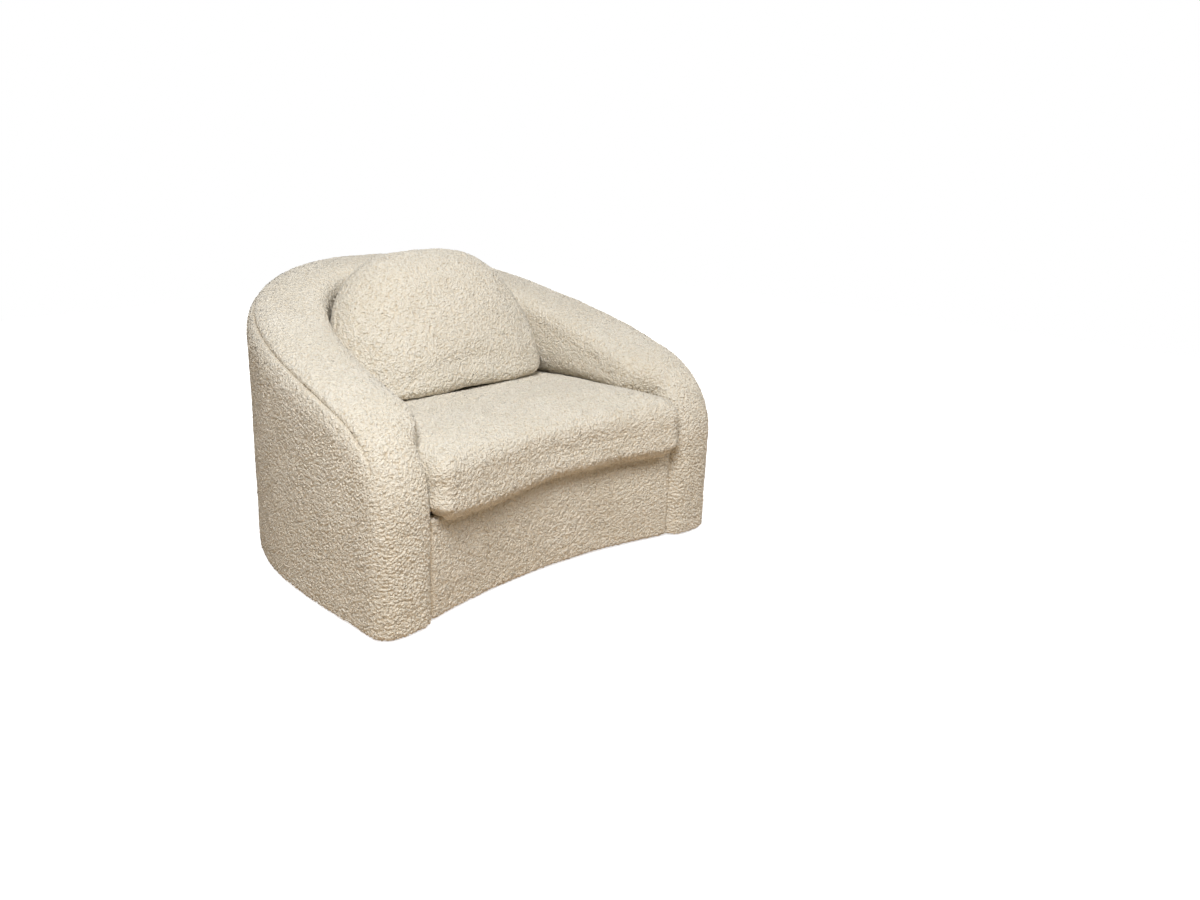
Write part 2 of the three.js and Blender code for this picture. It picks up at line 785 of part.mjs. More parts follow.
function buildDeck() {
  const wellOffset = -halfWall - softGap;
  const clothBottom = seatRailTop + 2 * gap + springWire;
  const foamBottom = clothBottom + springClothThickness + gap;
  const coverUnder = apronTop - deckCoverThickness;
  const railBack = apronStack - railWidth;
  const clothOutline = wellOutline(wellOffset, railBack, apronRecess + apronStack);
  addPiece('spring_cloth', sheet(clothOutline, clothBottom, springClothThickness), hessian());
  const deckOutline = wellOutline(wellOffset, apronLip + softGap, apronRecess + apronLip + edgeRollWidth);
  addPiece('deck_foam', sheet(deckOutline, foamBottom, coverUnder - gap - foamBottom), foam());
  addPiece('deck_cover', sheet(deckOutline, coverUnder, deckCoverThickness), boucle());
}

// Dust cover under the base, pierced by the glide pins, and the four nail-on glides
function buildUnderside() {
  const outline = wellOutline(ribOut - softGap, apronStack, apronRecess + apronStack + apronBow);
  const dustSheet = sheet(outline, coverBottom + gap, dustCoverThickness);
  addPiece('dust_cover', cutAway(dustSheet, ...glideSpots.map(glidePinHole)), blackCloth());
  const names = ['front_left', 'front_right', 'rear_left', 'rear_right'];
  const dome = coverBottom / 2;
  const profile = [
    [0, 0],
    [glideRadius - dome, 0],
    [glideRadius, dome],
    [glideRadius, coverBottom],
    [glidePinRadius, coverBottom],
    [glidePinRadius, coverBottom + glidePinHeight - dome],
    [0, coverBottom + glidePinHeight],
  ].map(([r, z]) => new THREE.Vector2(r, z));
  glideSpots.forEach((spot, k) => {
    const glide = new THREE.LatheGeometry(profile, glideSides).rotateX(Math.PI / 2);
    addPiece(names[k] + '_glide', glide.translate(spot.x, spot.y, 0), nylon());
  });
}

// Seat cushion outline in plan, from its front middle round the right side to the back and home
const cushionFront = -overallDepth / 2;
const cushionSide = -halfWall - cushionSideClear;
const cushionBack = lineBack + cushionSide;
const seatZipCentre = cushionBack - cushionBackArc;
const cushionArcBack = (x) => seatZipCentre + Math.sqrt(Math.max(0, cushionBackArc ** 2 - x ** 2));

function cushionOutline() {
  const side = lineHalfSpan + cushionSide;
  const half = [];
  const frontSpan = side - cushionCorner;
  for (let k = 0; k <= cushionFrontSteps / 2; k++) {
    const share = (2 * k) / cushionFrontSteps;
    half.push(new THREE.Vector2(-frontSpan * share, cushionFront + cushionBow * (1 - share * share)));
  }
  for (const share of cushionCornerShares) {
    const turn = share * quarterTurn;
    const [across, back] = [cushionCorner * Math.sin(turn), cushionCorner * (1 - Math.cos(turn))];
    half.push(new THREE.Vector2(-frontSpan - across, cushionFront + back));
  }
  for (const run of wall.stops(cushionCorner + cushionProud, middleRun)) {
    const p = wall.at(run, cushionSide, 0);
    half.push(new THREE.Vector2(p.x, p.y > 0 ? Math.min(p.y, cushionArcBack(p.x)) : p.y));
  }
  const right = half.slice(1, -1).reverse();
  return half.concat(right.map((p) => new THREE.Vector2(-p.x, p.y)));
}

// A closed form of rings: each ring is the outline drawn in towards a centre, at its own height
function ringForm(outline, centre, rings, bottomZ, topZ) {
  const points = [];
  const triangles = [];
  const n = outline.length;
  for (const { inset, z } of rings) {
    for (const p of outline) {
      const reach = Math.hypot(p.x - centre.x, p.y - centre.y);
      const share = 1 - inset / reach;
      points.push(new THREE.Vector3(mix(centre.x, p.x, share), mix(centre.y, p.y, share), z));
    }
  }
  const bottom = points.push(new THREE.Vector3(centre.x, centre.y, bottomZ)) - 1;
  const top = points.push(new THREE.Vector3(centre.x, centre.y, topZ)) - 1;
  for (let r = 0; r < rings.length - 1; r++) {
    for (let k = 0; k < n; k++) {
      const [a, b] = [r * n + k, r * n + ((k + 1) % n)];
      triangles.push([a, b, b + n], [a, b + n, a + n]);
    }
  }
  const last = (rings.length - 1) * n;
  for (let k = 0; k < n; k++) {
    const next = (k + 1) % n;
    triangles.push([next, k, bottom], [last + k, last + next, top]);
  }
  return facingOut(points, triangles);
}

const cushionBottom = apronTop + softGap;
const cushionTop = cushionBottom + cushionHeight;
const plateau = cushionTop + cushionCrown;
const zipLevel = cushionBottom + cushionHeight / 2;
const cushionMiddle = new THREE.Vector2(0, mix(cushionFront, cushionBack, cushionHubShare));

function cushionForm(layer, coarse) {
  const low = cushionBottom + layer;
  const edgeRing = ([insetShare, riseShare], base, sign) => ({
    inset: cushionEdge * insetShare + layer,
    z: base + sign * (cushionEdge * riseShare + layer),
  });
  const rings = [
    edgeRing([1, 0], cushionBottom, 1),
    edgeRing(lowerEdgeShares, cushionBottom, 1),
    edgeRing([0, 1], cushionBottom, 1),
    { inset: boxingDrawIn + layer, z: zipLevel },
    edgeRing([0, 1], cushionTop, -1),
    edgeRing(upperEdgeShares, cushionTop, -1),
    { inset: cushionEdge + layer, z: cushionTop + cushionCrown * crownStartShare - layer },
    { inset: crownInset + layer, z: cushionTop + cushionCrown * crownInsetShare - layer },
    { inset: plateauInset + layer, z: plateau - layer },
  ];
  const kept = coarse ? rings.filter((_, k) => k !== 1 && k !== 5) : rings;
  return ringForm(cushionOutline(), cushionMiddle, kept, low, plateau - layer);
}

// A curved bar about the seat zip's centre, between two radii, two heights and two angles from straight back
function zipArcBar(inner, outer, bottom, top, from, to, steps) {
  const shape = new THREE.Shape();
  const at = (radius, turn) => [radius * Math.sin(turn), seatZipCentre + radius * Math.cos(turn)];
  for (let k = 0; k <= steps; k++) shape[k ? 'lineTo' : 'moveTo'](...at(outer, mix(from, to, k / steps)));
  for (let k = steps; k >= 0; k--) shape.lineTo(...at(inner, mix(from, to, k / steps)));
  const bar = new THREE.ExtrudeGeometry(shape, { depth: top - bottom, bevelEnabled: false });
  return bar.translate(0, 0, bottom);
}

// Half the angle of the seat zip: a share of the stretch over which the cushion's back keeps its arc
function seatZipHalfTurn() {
  const kept = cushionOutline().filter((p) => p.y > 0 && p.y >= cushionArcBack(p.x) - gap);
  return seatZipShare * Math.asin(Math.max(...kept.map((p) => p.x)) / cushionBackArc);
}

const zipFace = cushionBackArc - boxingDrawIn;

function buildSeatCushion() {
  const half = seatZipHalfTurn();
  const [low, high] = [zipLevel - zipTapeHeight / 2, zipLevel + zipTapeHeight / 2];
  const sweep = gap / zipFace;
  const slotRadii = [zipFace - seatZipSlotDepth, zipFace + seatZipSlotDepth];
  const slot = zipArcBar(...slotRadii, low - gap, high + gap, -half - sweep, half + sweep, zipSteps);
  const cavity = cushionForm(cushionCoverThickness, true);
  addPiece('seat_cushion_cover', cutAway(cushionForm(0, false), cavity, slot), boucle());
  const core = cushionForm(cushionCoverThickness + softGap, true);
  addPiece('seat_cushion_core', core, foam());
  const tapeInner = zipFace - zipTapeThickness;
  const tape = zipArcBar(tapeInner, zipFace, low, high, -half, half, zipSteps);
  addPiece('seat_zip_tape', tape, tapeCloth());
  const [sliderSpan, pullSpan] = [sliderLength / zipFace, pullLength / zipFace];
  const sliderInner = zipFace + gap;
  const tabSeat = sliderInner + sliderThickness - pullThickness;
  const bodyLevels = [zipLevel - sliderHeight / 2, zipLevel + sliderHeight / 2];
  const pullLevels = [zipLevel - sliderHeight / 4, zipLevel + sliderHeight / 4];
  const body = zipArcBar(sliderInner, tabSeat, ...bodyLevels, half - sliderSpan, half, 2);
  const pullTurns = [half - pullSpan, half - sliderSpan / 4];
  const pullRadii = [tabSeat - pullThickness / 2, tabSeat + pullThickness];
  const pull = zipArcBar(...pullRadii, ...pullLevels, ...pullTurns, 2);
  addPiece('seat_zip_slider', fromSolid(toSolid(body).add(toSolid(pull))), zipMetal());
}

// Back pillow: a leaning half-round outline, swollen front and back, and pressed flat on the seat cushion
const pillowBase = new THREE.Vector3(0, lineBack - pillowSetForward, plateau - pillowSink);
const pillowSeat = plateau + softGap;

// A place in the leaning pillow: across, up its seam plane, and out of that plane towards its back
function pillowPlace(across, up, swell) {
  const y = pillowBase.y + up * Math.sin(pillowLean) + swell * Math.cos(pillowLean);
  const z = pillowBase.z + up * Math.cos(pillowLean) - swell * Math.sin(pillowLean);
  return new THREE.Vector3(across, y, z);
}

function pillowForm(layer) {
  const rings = pillowRingShares;
  const hub = pillowRise * pillowHubShare;
  const power = 2 / pillowFullnessShare;
  const points = [];
  const outline = [];
  for (let k = 0; k < pillowSteps; k++) {
    const turn = (k / pillowSteps) * 2 * Math.PI;
    const up = Math.sin(turn) > 0 ? pillowRise : pillowTuck;
    const [across, rise] = [raise(Math.cos(turn), power), raise(Math.sin(turn), power)];
    outline.push([(pillowHalfWidth - layer) * across, (up - layer) * rise]);
  }
  const ring = (share, swell) => outline.map(([x, up]) => pillowPlace(x * share, mix(hub, up, share), swell));
  const swellAt = (share, most) => (most - layer) * (1 - share ** pillowFlatPower) ** pillowSwellShare;
  points.push(pillowPlace(0, hub, layer - pillowFrontSwell));
  for (const share of rings) points.push(...ring(share, -swellAt(share, pillowFrontSwell)));
  points.push(...ring(1, 0));
  for (const share of [...rings].reverse()) points.push(...ring(share, swellAt(share, pillowBackSwell)));
  points.push(pillowPlace(0, hub, pillowBackSwell - layer));
  const n = pillowSteps;
  const count = 2 * rings.length + 1;
  const triangles = [];
  for (let k = 0; k < n; k++) triangles.push([0, 1 + k, 1 + ((k + 1) % n)]);
  for (let r = 0; r < count - 1; r++) {
    for (let k = 0; k < n; k++) {
      const [a, b] = [1 + r * n + k, 1 + r * n + ((k + 1) % n)];
      triangles.push([a, a + n, b + n], [a, b + n, b]);
    }
  }
  const [last, end] = [1 + (count - 1) * n, points.length - 1];
  for (let k = 0; k < n; k++) triangles.push([last + k, end, last + ((k + 1) % n)]);
  const under = new THREE.BoxGeometry(overallWidth, overallDepth, pillowRise);
  under.translate(0, 0, pillowSeat + layer - pillowRise / 2);
  return cutAway(facingOut(points, triangles), under);
}

// A bar across the pillow's flat underside, between two places across, along its zip, and two levels
function pillowBar(from, to, halfHeight, bottom, top) {
  const bar = new THREE.BoxGeometry(to - from, 2 * halfHeight, top - bottom);
  return bar.translate((from + to) / 2, pillowZipBack, (bottom + top) / 2);
}

function buildBackPillow() {
  const halfZip = pillowZipLength / 2;
  const halfTape = zipTapeHeight / 2;
  const sliderBottom = pillowSeat + gap;
  const tapeBottom = sliderBottom + sliderThickness + gap;
  const tapeTop = tapeBottom + zipTapeThickness;
  const below = pillowSeat - cutOverrun;
  const channel = pillowBar(-halfZip - gap, halfZip + gap, halfTape + gap, below, tapeTop + cutOverrun);
  const cavity = pillowForm(pillowCoverThickness);
  addPiece('back_pillow_cover', cutAway(pillowForm(0), cavity, channel), boucle());
  const room = pillowBar(-halfZip - looseGap, halfZip + looseGap, halfTape + looseGap, below, tapeTop + gap);
  addPiece('back_pillow_fill', cutAway(pillowForm(pillowCoverThickness + looseGap), room), wadding());
  addPiece('pillow_zip_tape', pillowBar(-halfZip, halfZip, halfTape, tapeBottom, tapeTop), tapeCloth());
  const pullTop = sliderBottom + pullThickness;
  const body = pillowBar(halfZip - sliderLength, halfZip, sliderHeight / 2, pullTop, tapeBottom - gap);
  const pullRange = [halfZip - pullLength, halfZip - sliderLength / 4];
  const pull = pillowBar(...pullRange, sliderHeight / 4, sliderBottom, pullTop + pullThickness / 2);
  addPiece('pillow_zip_slider', fromSolid(toSolid(body).add(toSolid(pull))), zipMetal());
}

buildShellCovers();
buildShellPadding();
buildBackingBoards();
buildFrame();
buildApron();
buildCornerBlocks();
buildSprings();
buildDeck();
buildUnderside();
buildSeatCushion();
buildBackPillow();

export default chair;
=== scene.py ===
"""Tub chair in cream boucle: padded wall covers, apron, loose seat cushion and loose back pillow."""

import json
import math

import bmesh
import bpy
import numpy as np
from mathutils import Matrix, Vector


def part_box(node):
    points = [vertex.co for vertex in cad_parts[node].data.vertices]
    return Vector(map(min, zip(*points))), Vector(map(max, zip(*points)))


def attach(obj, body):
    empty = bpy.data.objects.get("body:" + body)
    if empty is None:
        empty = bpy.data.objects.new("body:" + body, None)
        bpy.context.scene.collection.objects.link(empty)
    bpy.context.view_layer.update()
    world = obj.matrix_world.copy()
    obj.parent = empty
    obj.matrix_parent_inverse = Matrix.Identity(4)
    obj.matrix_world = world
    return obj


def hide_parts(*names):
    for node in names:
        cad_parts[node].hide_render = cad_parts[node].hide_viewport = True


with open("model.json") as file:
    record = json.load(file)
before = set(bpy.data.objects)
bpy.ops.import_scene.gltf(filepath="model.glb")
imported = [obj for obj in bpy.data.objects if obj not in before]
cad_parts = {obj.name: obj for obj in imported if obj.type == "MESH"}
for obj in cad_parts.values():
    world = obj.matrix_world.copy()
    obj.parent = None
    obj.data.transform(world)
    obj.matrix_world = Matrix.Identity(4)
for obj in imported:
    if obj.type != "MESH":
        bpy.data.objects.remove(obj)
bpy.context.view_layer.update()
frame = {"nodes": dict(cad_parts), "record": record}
bpy.ops.object.select_all(action="DESELECT")

MM = 0.001

# The padded wall: its plan line, its height and its top edge
half_span = 520 * MM
arm_front = -498 * MM
oval_start = -315 * MM
line_back = 426 * MM
half_wall = 82 * MM
plan_fullness = 2.74
arm_straight = 183 * MM
front_rise = 292 * MM
arm_height = 540 * MM
back_height = 775 * MM
arm_slope = 0.34
back_slope = 0.41
cover_bottom = 8 * MM
lining_bottom = 234 * MM
bulge_start = 450 * MM
bulge_rise = 90 * MM
seam_share = 0.556

# Its rounded top, at the arm's nose and along the roll: fullness of the curve, and how far the
# outer and inner curves and the curve back under the roll reach down
nose_fullness, roll_fullness = 2.87, 2.66
nose_outer, roll_outer = 58 * MM, 85 * MM
nose_inner, roll_inner = 58 * MM, 62 * MM
nose_return, roll_return = 66 * MM, 112 * MM
arm_reach, back_reach = 140 * MM, 128 * MM
roll_shift = -16 * MM
return_fullness = 6

# The seam on the roll's outer shoulder: how deep and wide it is, how far the covers turn in there,
# and the height where it ends on the arm front and over which it fades in
seam_pull = 5.5 * MM
seam_width = 4.5 * MM
seam_turn = 9 * MM
seam_end, seam_fades_in = 385 * MM, 95 * MM

# The covers' lower hem
hem_radius = 6 * MM
hem_turned_in = ((22 * MM, 0.6 * MM), (12 * MM, 0.2 * MM))

# Apron, seat cushion and back pillow. The dent is where the pillow lies, and the sag is how far the
# cushion hangs over the apron: deepest left of the middle, and raised a little just right of it
apron_recess = 24 * MM
apron_bow = 57 * MM
apron_top = 268 * MM
apron_lip = 9 * MM
apron_flange = 50 * MM
apron_fill = 3 * MM
pocket = half_span - half_wall
cushion_low = 268.5 * MM
cushion_top = 421.5 * MM
plateau = 450.5 * MM
boxing_seams = ((cushion_low + 13 * MM, 1.4 * MM), (cushion_top - 7 * MM, 0.5 * MM))
zip_level = 345 * MM
zip_radius = 551 * MM
zip_centre = -222 * MM
zip_angle = math.radians(25.6)
zip_recess = 5 * MM
pillow_lean = math.radians(24)
pillow_foot = Vector((0, -7 * MM, 397.5 * MM))
dent_depth = 13 * MM
dent_half, dent_front, dent_rim = 270 * MM, -20 * MM, 130 * MM
sag_even, sag_deep, sag_raised = 12 * MM, 14 * MM, 4 * MM
sag_deep_at, sag_deep_spread = -230 * MM, 125 * MM
sag_raised_at, sag_raised_spread = 15 * MM, 60 * MM
boxing_fill = 8.5 * MM
boxing_middle, boxing_half = 331 * MM, 64 * MM
pillow_sink = dent_depth - 1.0 * MM
pillow_seam = 4.2 * MM
pillow_zip_at, pillow_zip_half = 120 * MM, 226 * MM
pillow_zip_recess = 6.5 * MM

# How the loose cushions are swollen: size of the remeshed faces, rounds of smoothing before and after,
# thickness of the cover, how far a point may move, and how much of an inward move is kept
cushion_swelling = {"voxel": 7.2 * MM, "relaxed": 3, "ironed": 3, "cover": 3 * MM, "cap": 7 * MM}
pillow_swelling = {"voxel": 7.0 * MM, "relaxed": 4, "ironed": 30, "cover": 3.5 * MM, "cap": 10 * MM}
cloth_frames = 20
air_pressure = 4.0
inward_kept = 0.15

# Boucle: size of a curl, how high it stands, how far its grains scatter and spread, the size of the
# padding's lumps under it, and the step of the mesh that carries it
curl = 7.4 * MM
curl_height = 6.3 * MM
grain_scatter = 0.3
grain_size = 0.55
wide_lump, small_lump = 0.17, 0.06
step = 3.2 * MM


# Random numbers for the yarn and the padding, the same in each run
dice = np.random.default_rng(11)
shuffle = dice.permutation(256)
slopes = dice.normal(size=(256, 3))
slopes /= np.linalg.norm(slopes, axis=1)[:, None]
# Turns the grains' cells so that no face of the chair lies along them
tilt = np.array([[0.80, 0.36, -0.48], [-0.60, 0.48, -0.64], [0.0, 0.80, 0.60]])


def cell_key(cell):
    """A number from 0 to 255 for each cell, in no visible order."""
    key = cell & 255
    return shuffle[(shuffle[(shuffle[key[:, 0]] + key[:, 1]) & 255] + key[:, 2]) & 255]


def soft_noise(points):
    """Smooth noise, from about -1 to 1, that changes over one unit."""
    cell = np.floor(points).astype(np.int64)
    part = points - cell
    ease = part * part * part * (part * (part * 6 - 15) + 10)
    total = np.zeros(len(points))
    for corner in np.ndindex(2, 2, 2):
        c = np.array(corner)
        weight = np.prod(np.where(c == 1, ease, 1 - ease), axis=1)
        total += weight * np.einsum("ij,ij->i", slopes[cell_key(cell + c)], part - c)
    return total * 1.6


def grains(points):
    """Rounded grains scattered one to a cell: 1 on top of each and 0 in the gaps between them."""
    cell = np.floor(points).astype(np.int64)
    part = points - cell
    best = np.zeros(len(points))
    for corner in np.ndindex(2, 2, 2):
        c = np.array(corner)
        away = part - c - grain_scatter * slopes[cell_key(cell + c)]
        best = np.maximum(best, 1 - np.einsum("ij,ij->i", away, away) / grain_size)
    return best


def curls(points):
    """Height of the boucle's nubs at each point: curled grains of yarn with creases between them."""
    base = points @ tilt / curl
    warp = np.stack([soft_noise(base * 0.5 + shift) for shift in (3.7, 19.2, 41.5)], axis=1)
    bent = base + 0.35 * warp
    return 0.66 * grains(bent) + 0.34 * grains(bent[:, [1, 2, 0]] * 1.35 + 57.1)


def lumps(points, size):
    """Slow lumps of padding, each about one size across."""
    return soft_noise(points / size + 11.9)


# Meshes from grids of points
weld = 0.02 * MM


def spot(points):
    """One whole number for each place, the same for points that are welded."""
    cell = np.round(points / weld).astype(np.int64) + 2**19
    return (cell[:, 0] << 40) + (cell[:, 1] << 20) + cell[:, 2]


class Skin:
    """Grids of points that share their edges, made into one mesh of quads."""

    def __init__(self):
        self.points, self.tucks, self.faces, self.count = [], [], [], 0

    def grid(self, points, tuck=None, flip=False):
        """Adds a grid of points, with how deep each is tucked in at a seam."""
        tall, wide = points.shape[:2]
        tuck = np.zeros((tall, wide)) if tuck is None else tuck
        index = self.count + np.arange(tall * wide).reshape(tall, wide)
        self.points.append(points.reshape(-1, 3))
        self.tucks.append(tuck.reshape(-1))
        self.count += tall * wide
        corners = [index[:-1, :-1], index[1:, :-1], index[1:, 1:], index[:-1, 1:]]
        quads = np.stack(corners, axis=-1).reshape(-1, 4)
        self.faces.append(quads[:, ::-1] if flip else quads)

    def mirrored(self):
        """Adds the right half, the mirror image of what is there."""
        points = [p * np.array([-1, 1, 1]) for p in self.points]
        self.points += points
        self.tucks += self.tucks
        self.faces += [f[:, ::-1] + self.count for f in self.faces]
        self.count *= 2

    def mesh(self, name):
        """Welds the grids and leaves out quads that have shrunk to a line."""
        points, tucks = np.concatenate(self.points), np.concatenate(self.tucks)
        _, first, place = np.unique(spot(points), return_index=True, return_inverse=True)
        faces = place.reshape(-1)[np.concatenate(self.faces)]
        order = np.sort(faces, axis=1)
        whole = np.all(order[:, 1:] != order[:, :-1], axis=1)
        obj = new_object(name, points[first], faces[whole])
        store(obj, "tuck", tucks[first])
        return obj


def new_object(name, points, faces):
    """A mesh object at the origin, of quads."""
    mesh = bpy.data.meshes.new(name)
    mesh.vertices.add(len(points))
    mesh.vertices.foreach_set("co", np.asarray(points, np.float32).reshape(-1))
    mesh.loops.add(faces.size)
    mesh.loops.foreach_set("vertex_index", faces.astype(np.int32).reshape(-1))
    mesh.polygons.add(len(faces))
    mesh.polygons.foreach_set("loop_start", np.arange(0, faces.size, 4, dtype=np.int32))
    mesh.update(calc_edges=True)
    obj = bpy.data.objects.new(name, mesh)
    bpy.context.scene.collection.objects.link(obj)
    return obj


def store(obj, name, values):
    """Keeps one number for each point of a mesh, under a name."""
    layer = obj.data.attributes.get(name) or obj.data.attributes.new(name, "FLOAT", "POINT")
    layer.data.foreach_set("value", np.asarray(values, np.float32))


def stored(obj, name):
    values = np.zeros(len(obj.data.vertices), np.float32)
    obj.data.attributes[name].data.foreach_get("value", values)
    return values.astype(float)


def read_points(mesh, what="co"):
    values = np.zeros(len(mesh.vertices) * 3, np.float32)
    mesh.vertices.foreach_get(what, values)
    return values.reshape(-1, 3).astype(float)


def places(obj):
    return read_points(obj.data)


def normals(obj):
    return read_points(obj.data, "normal")


def put(obj, points):
    obj.data.vertices.foreach_set("co", np.asarray(points, np.float32).reshape(-1))
    obj.data.update()


def facing(obj, outward):
    """Turns all faces round if most of them look against the outward direction."""
    points, looks = places(obj), normals(obj)
    if np.mean(np.einsum("ij,ij->i", looks, outward(points))) < 0:
        obj.data.flip_normals()
        obj.data.update()


def upholster(obj, padding, sink=1.0 * MM):
    """Pushes the seams in, gives the padding its slight lumps, raises the boucle's curls, and stores their
    height, lowered along the seams, for the boucle's painted shade.
    """
    points, looks = places(obj), normals(obj)
    tuck = stored(obj, "tuck") if "tuck" in obj.data.attributes else np.zeros(len(points))
    swell = padding * lumps(points, wide_lump) + 0.45 * padding * lumps(points, small_lump)
    nub = curls(points)
    calm = np.clip(1 - tuck / (5 * MM), 0, 1)
    rise = swell * calm - sink - tuck + curl_height * nub * (0.55 + 0.45 * calm)
    put(obj, points + looks * rise[:, None])
    # the stored nub sets the boucle's colour; lowering it along seams and other tucks, such as the apron's
    # ends, paints shade into those creases
    store(obj, "nub", nub * (0.1 + 0.9 * calm))
    obj.data.shade_smooth()


def sew(first, first_flat, second, second_flat):
    """Brings the shared edge of two covers together again after they are upholstered."""
    _, here, there = np.intersect1d(spot(first_flat), spot(second_flat), return_indices=True)
    a, b = places(first), places(second)
    nub_a, nub_b = stored(first, "nub"), stored(second, "nub")
    a[here] = b[there] = (a[here] + b[there]) / 2
    nub_a[here] = nub_b[there] = (nub_a[here] + nub_b[there]) / 2
    put(first, a)
    put(second, b)
    store(first, "nub", nub_a)
    store(second, "nub", nub_b)


# The wall's own surface
def smooth(share):
    """Eases a share from 0 to 1 in and out."""
    return share * share * (3 - 2 * share)


def mix(a, b, share):
    """From a at share 0 to b at share 1."""
    return a + (b - a) * share


# The left half of the wall's middle line in plan, from the arm front to the middle of the back:
# a straight stretch and a squarish quarter oval, with its outward direction and its length so far
oval_depth = line_back - oval_start
quarter = np.linspace(0, math.pi / 2, 6001)
along_x, along_y = np.cos(quarter) ** (2 / plan_fullness), np.sin(quarter) ** (2 / plan_fullness)
along_x[-1] = 0
line_x = np.concatenate([[-half_span], -half_span * along_x])
line_y = np.concatenate([[arm_front], oval_start + oval_depth * along_y])
look_x = np.concatenate([[-1], -(along_x ** (plan_fullness - 1)) / half_span])
look_y = np.concatenate([[0], along_y ** (plan_fullness - 1) / oval_depth])
look_x[0] = look_x[0] / half_span
length = np.hypot(look_x, look_y)
look_x, look_y = look_x / length, look_y / length
line_run = np.concatenate([[0], np.cumsum(np.hypot(np.diff(line_x), np.diff(line_y)))])
middle = line_run[-1]


def wall_at(run, offset, z):
    """Points of the left half of the wall: run along its plan line, offset outward, height."""
    run, offset, z = np.broadcast_arrays(run, offset, z)
    x = np.interp(run, line_run, line_x) + np.interp(run, line_run, look_x) * offset
    y = np.interp(run, line_run, line_y) + np.interp(run, line_run, look_y) * offset
    return np.stack([x, y, z], axis=-1)


def crest_height(run):
    """Height of the wall's crest: a smooth rise from the arm to the back, with a slope at each end."""
    t = np.clip((np.interp(run, line_run, line_y) - oval_start) / oval_depth, 0, 1)
    return (
        arm_height * (2 * t**3 - 3 * t**2 + 1)
        + oval_depth * arm_slope * (t**3 - 2 * t**2 + t)
        + back_height * (3 * t**2 - 2 * t**3)
        + oval_depth * back_slope * (t**3 - t**2)
    )


def hem_profile():
    """How far in and how far up each row of the turned-in lower hem lies."""
    rows = list(hem_turned_in)
    for angle in np.radians([0, 30, 60]):
        rows.append((hem_radius * (1 - math.sin(angle)), hem_radius * (1 - math.cos(angle))))
    return rows


def wall_columns():
    """Columns of the wall's section: turned-in hem, nose, waterfall, crest to the middle of the back."""
    hem = hem_profile()
    layer = [inset for inset, _ in hem]
    hem_z = [cover_bottom + up for _, up in hem]
    nose_z = np.arange(cover_bottom + hem_radius, front_rise, step * 0.66)
    count = int(0.33 / step * 1.5)
    share = np.linspace(0, 1, 2 * (count // 2) + 1)
    # the waterfall over the arm front is one smooth curve between four points
    lift = mix(front_rise, arm_height, 0.6)
    shoulder = arm_height - arm_slope * arm_straight / 2
    ends = [(0, front_rise), (0, lift), (arm_straight / 2, shoulder), (arm_straight, arm_height)]
    weights = [(1 - share) ** 3, 3 * share * (1 - share) ** 2, 3 * share**2 * (1 - share), share**3]
    fall_run = sum(w * e[0] for w, e in zip(weights, ends))
    fall_z = sum(w * e[1] for w, e in zip(weights, ends))
    crest_run = np.linspace(arm_straight, middle, int((middle - arm_straight) / step))[1:]
    flat = len(hem_z) + len(nose_z)
    run = np.concatenate([np.zeros(flat), fall_run, crest_run])
    z = np.concatenate([hem_z, nose_z, fall_z, crest_height(crest_run)])
    roll = np.concatenate([np.zeros(flat), share, np.ones(len(crest_run))])
    inset = np.concatenate([layer, np.zeros(len(run) - len(layer))])
    return {
        "run": run,
        "z": z,
        "roll": roll,
        "along": np.cos(roll * math.pi / 2),
        "down": np.sin(roll * math.pi / 2),
        "inset": inset,
        "hem": len(layer),
        "corner": flat + len(share) // 2,
    }


columns = wall_columns()


def roll_shape():
    """Sizes of the rounded top for every column, from the nose to the full roll."""
    run, z, roll = columns["run"][:, None], columns["z"][:, None], columns["roll"][:, None]
    past = np.maximum(0, run - arm_straight) / middle
    reach = mix(arm_reach, back_reach, smooth(np.clip(past, 0, 1)))
    swell = smooth(np.clip((z - bulge_start) / bulge_rise, 0, 1))
    to_cushion = (z - cushion_top + 5 * MM) * roll
    return {
        "fullness": mix(nose_fullness, roll_fullness, roll),
        "outer": mix(nose_outer, roll_outer, roll),
        "inner": mix(nose_inner, roll_inner, roll),
        "return": np.maximum(mix(nose_return, roll_return, roll), to_cushion),
        "reach": mix(half_wall, reach, swell),
        "crest": roll_shift * roll,
    }


shape = roll_shape()


def section(kind, shares, inset=0.0):
    """Depth under the crest and offset from the plan line, for every column at each share of its row."""
    layer = columns["inset"][:, None] + inset
    shares = np.asarray(shares)[None, :]
    if kind == "return":
        depth = mix(shape["inner"], shape["return"], shares)
        ease = mix(smooth(shares), shares**return_fullness, columns["roll"][:, None])
        return depth, -mix(shape["reach"] - layer, half_wall - layer, ease)
    power = 2 / shape["fullness"]
    outer = kind == "outer"
    span = half_wall - layer - shape["crest"] if outer else -(shape["reach"] - layer) - shape["crest"]
    most = (shape["outer"] if outer else shape["inner"]) - layer
    angle = shares * math.pi / 2
    cosine = np.maximum(np.cos(angle), 0)
    return layer + most * (1 - cosine**power), shape["crest"] + span * np.sin(angle) ** power


def evenly(depth, offset, count):
    """The same curves with their points evenly spaced."""
    new_depth, new_offset = np.empty((len(depth), count)), np.empty((len(depth), count))
    gone = np.cumsum(np.hypot(np.diff(depth), np.diff(offset)), axis=1)
    runs = np.concatenate([np.zeros((len(depth), 1)), gone], axis=1)
    for k in range(len(depth)):
        goal = np.linspace(0, runs[k, -1], count)
        new_depth[k] = np.interp(goal, runs[k], depth[k])
        new_offset[k] = np.interp(goal, runs[k], offset[k])
    return new_depth, new_offset, runs[:, -1:]


def on_wall(depth, offset):
    """Run, height and offset of points at a depth under the crest: back at the nose, down at the roll."""
    run = columns["run"][:, None] + columns["along"][:, None] * depth
    z = columns["z"][:, None] - columns["down"][:, None] * depth
    return run, z, offset


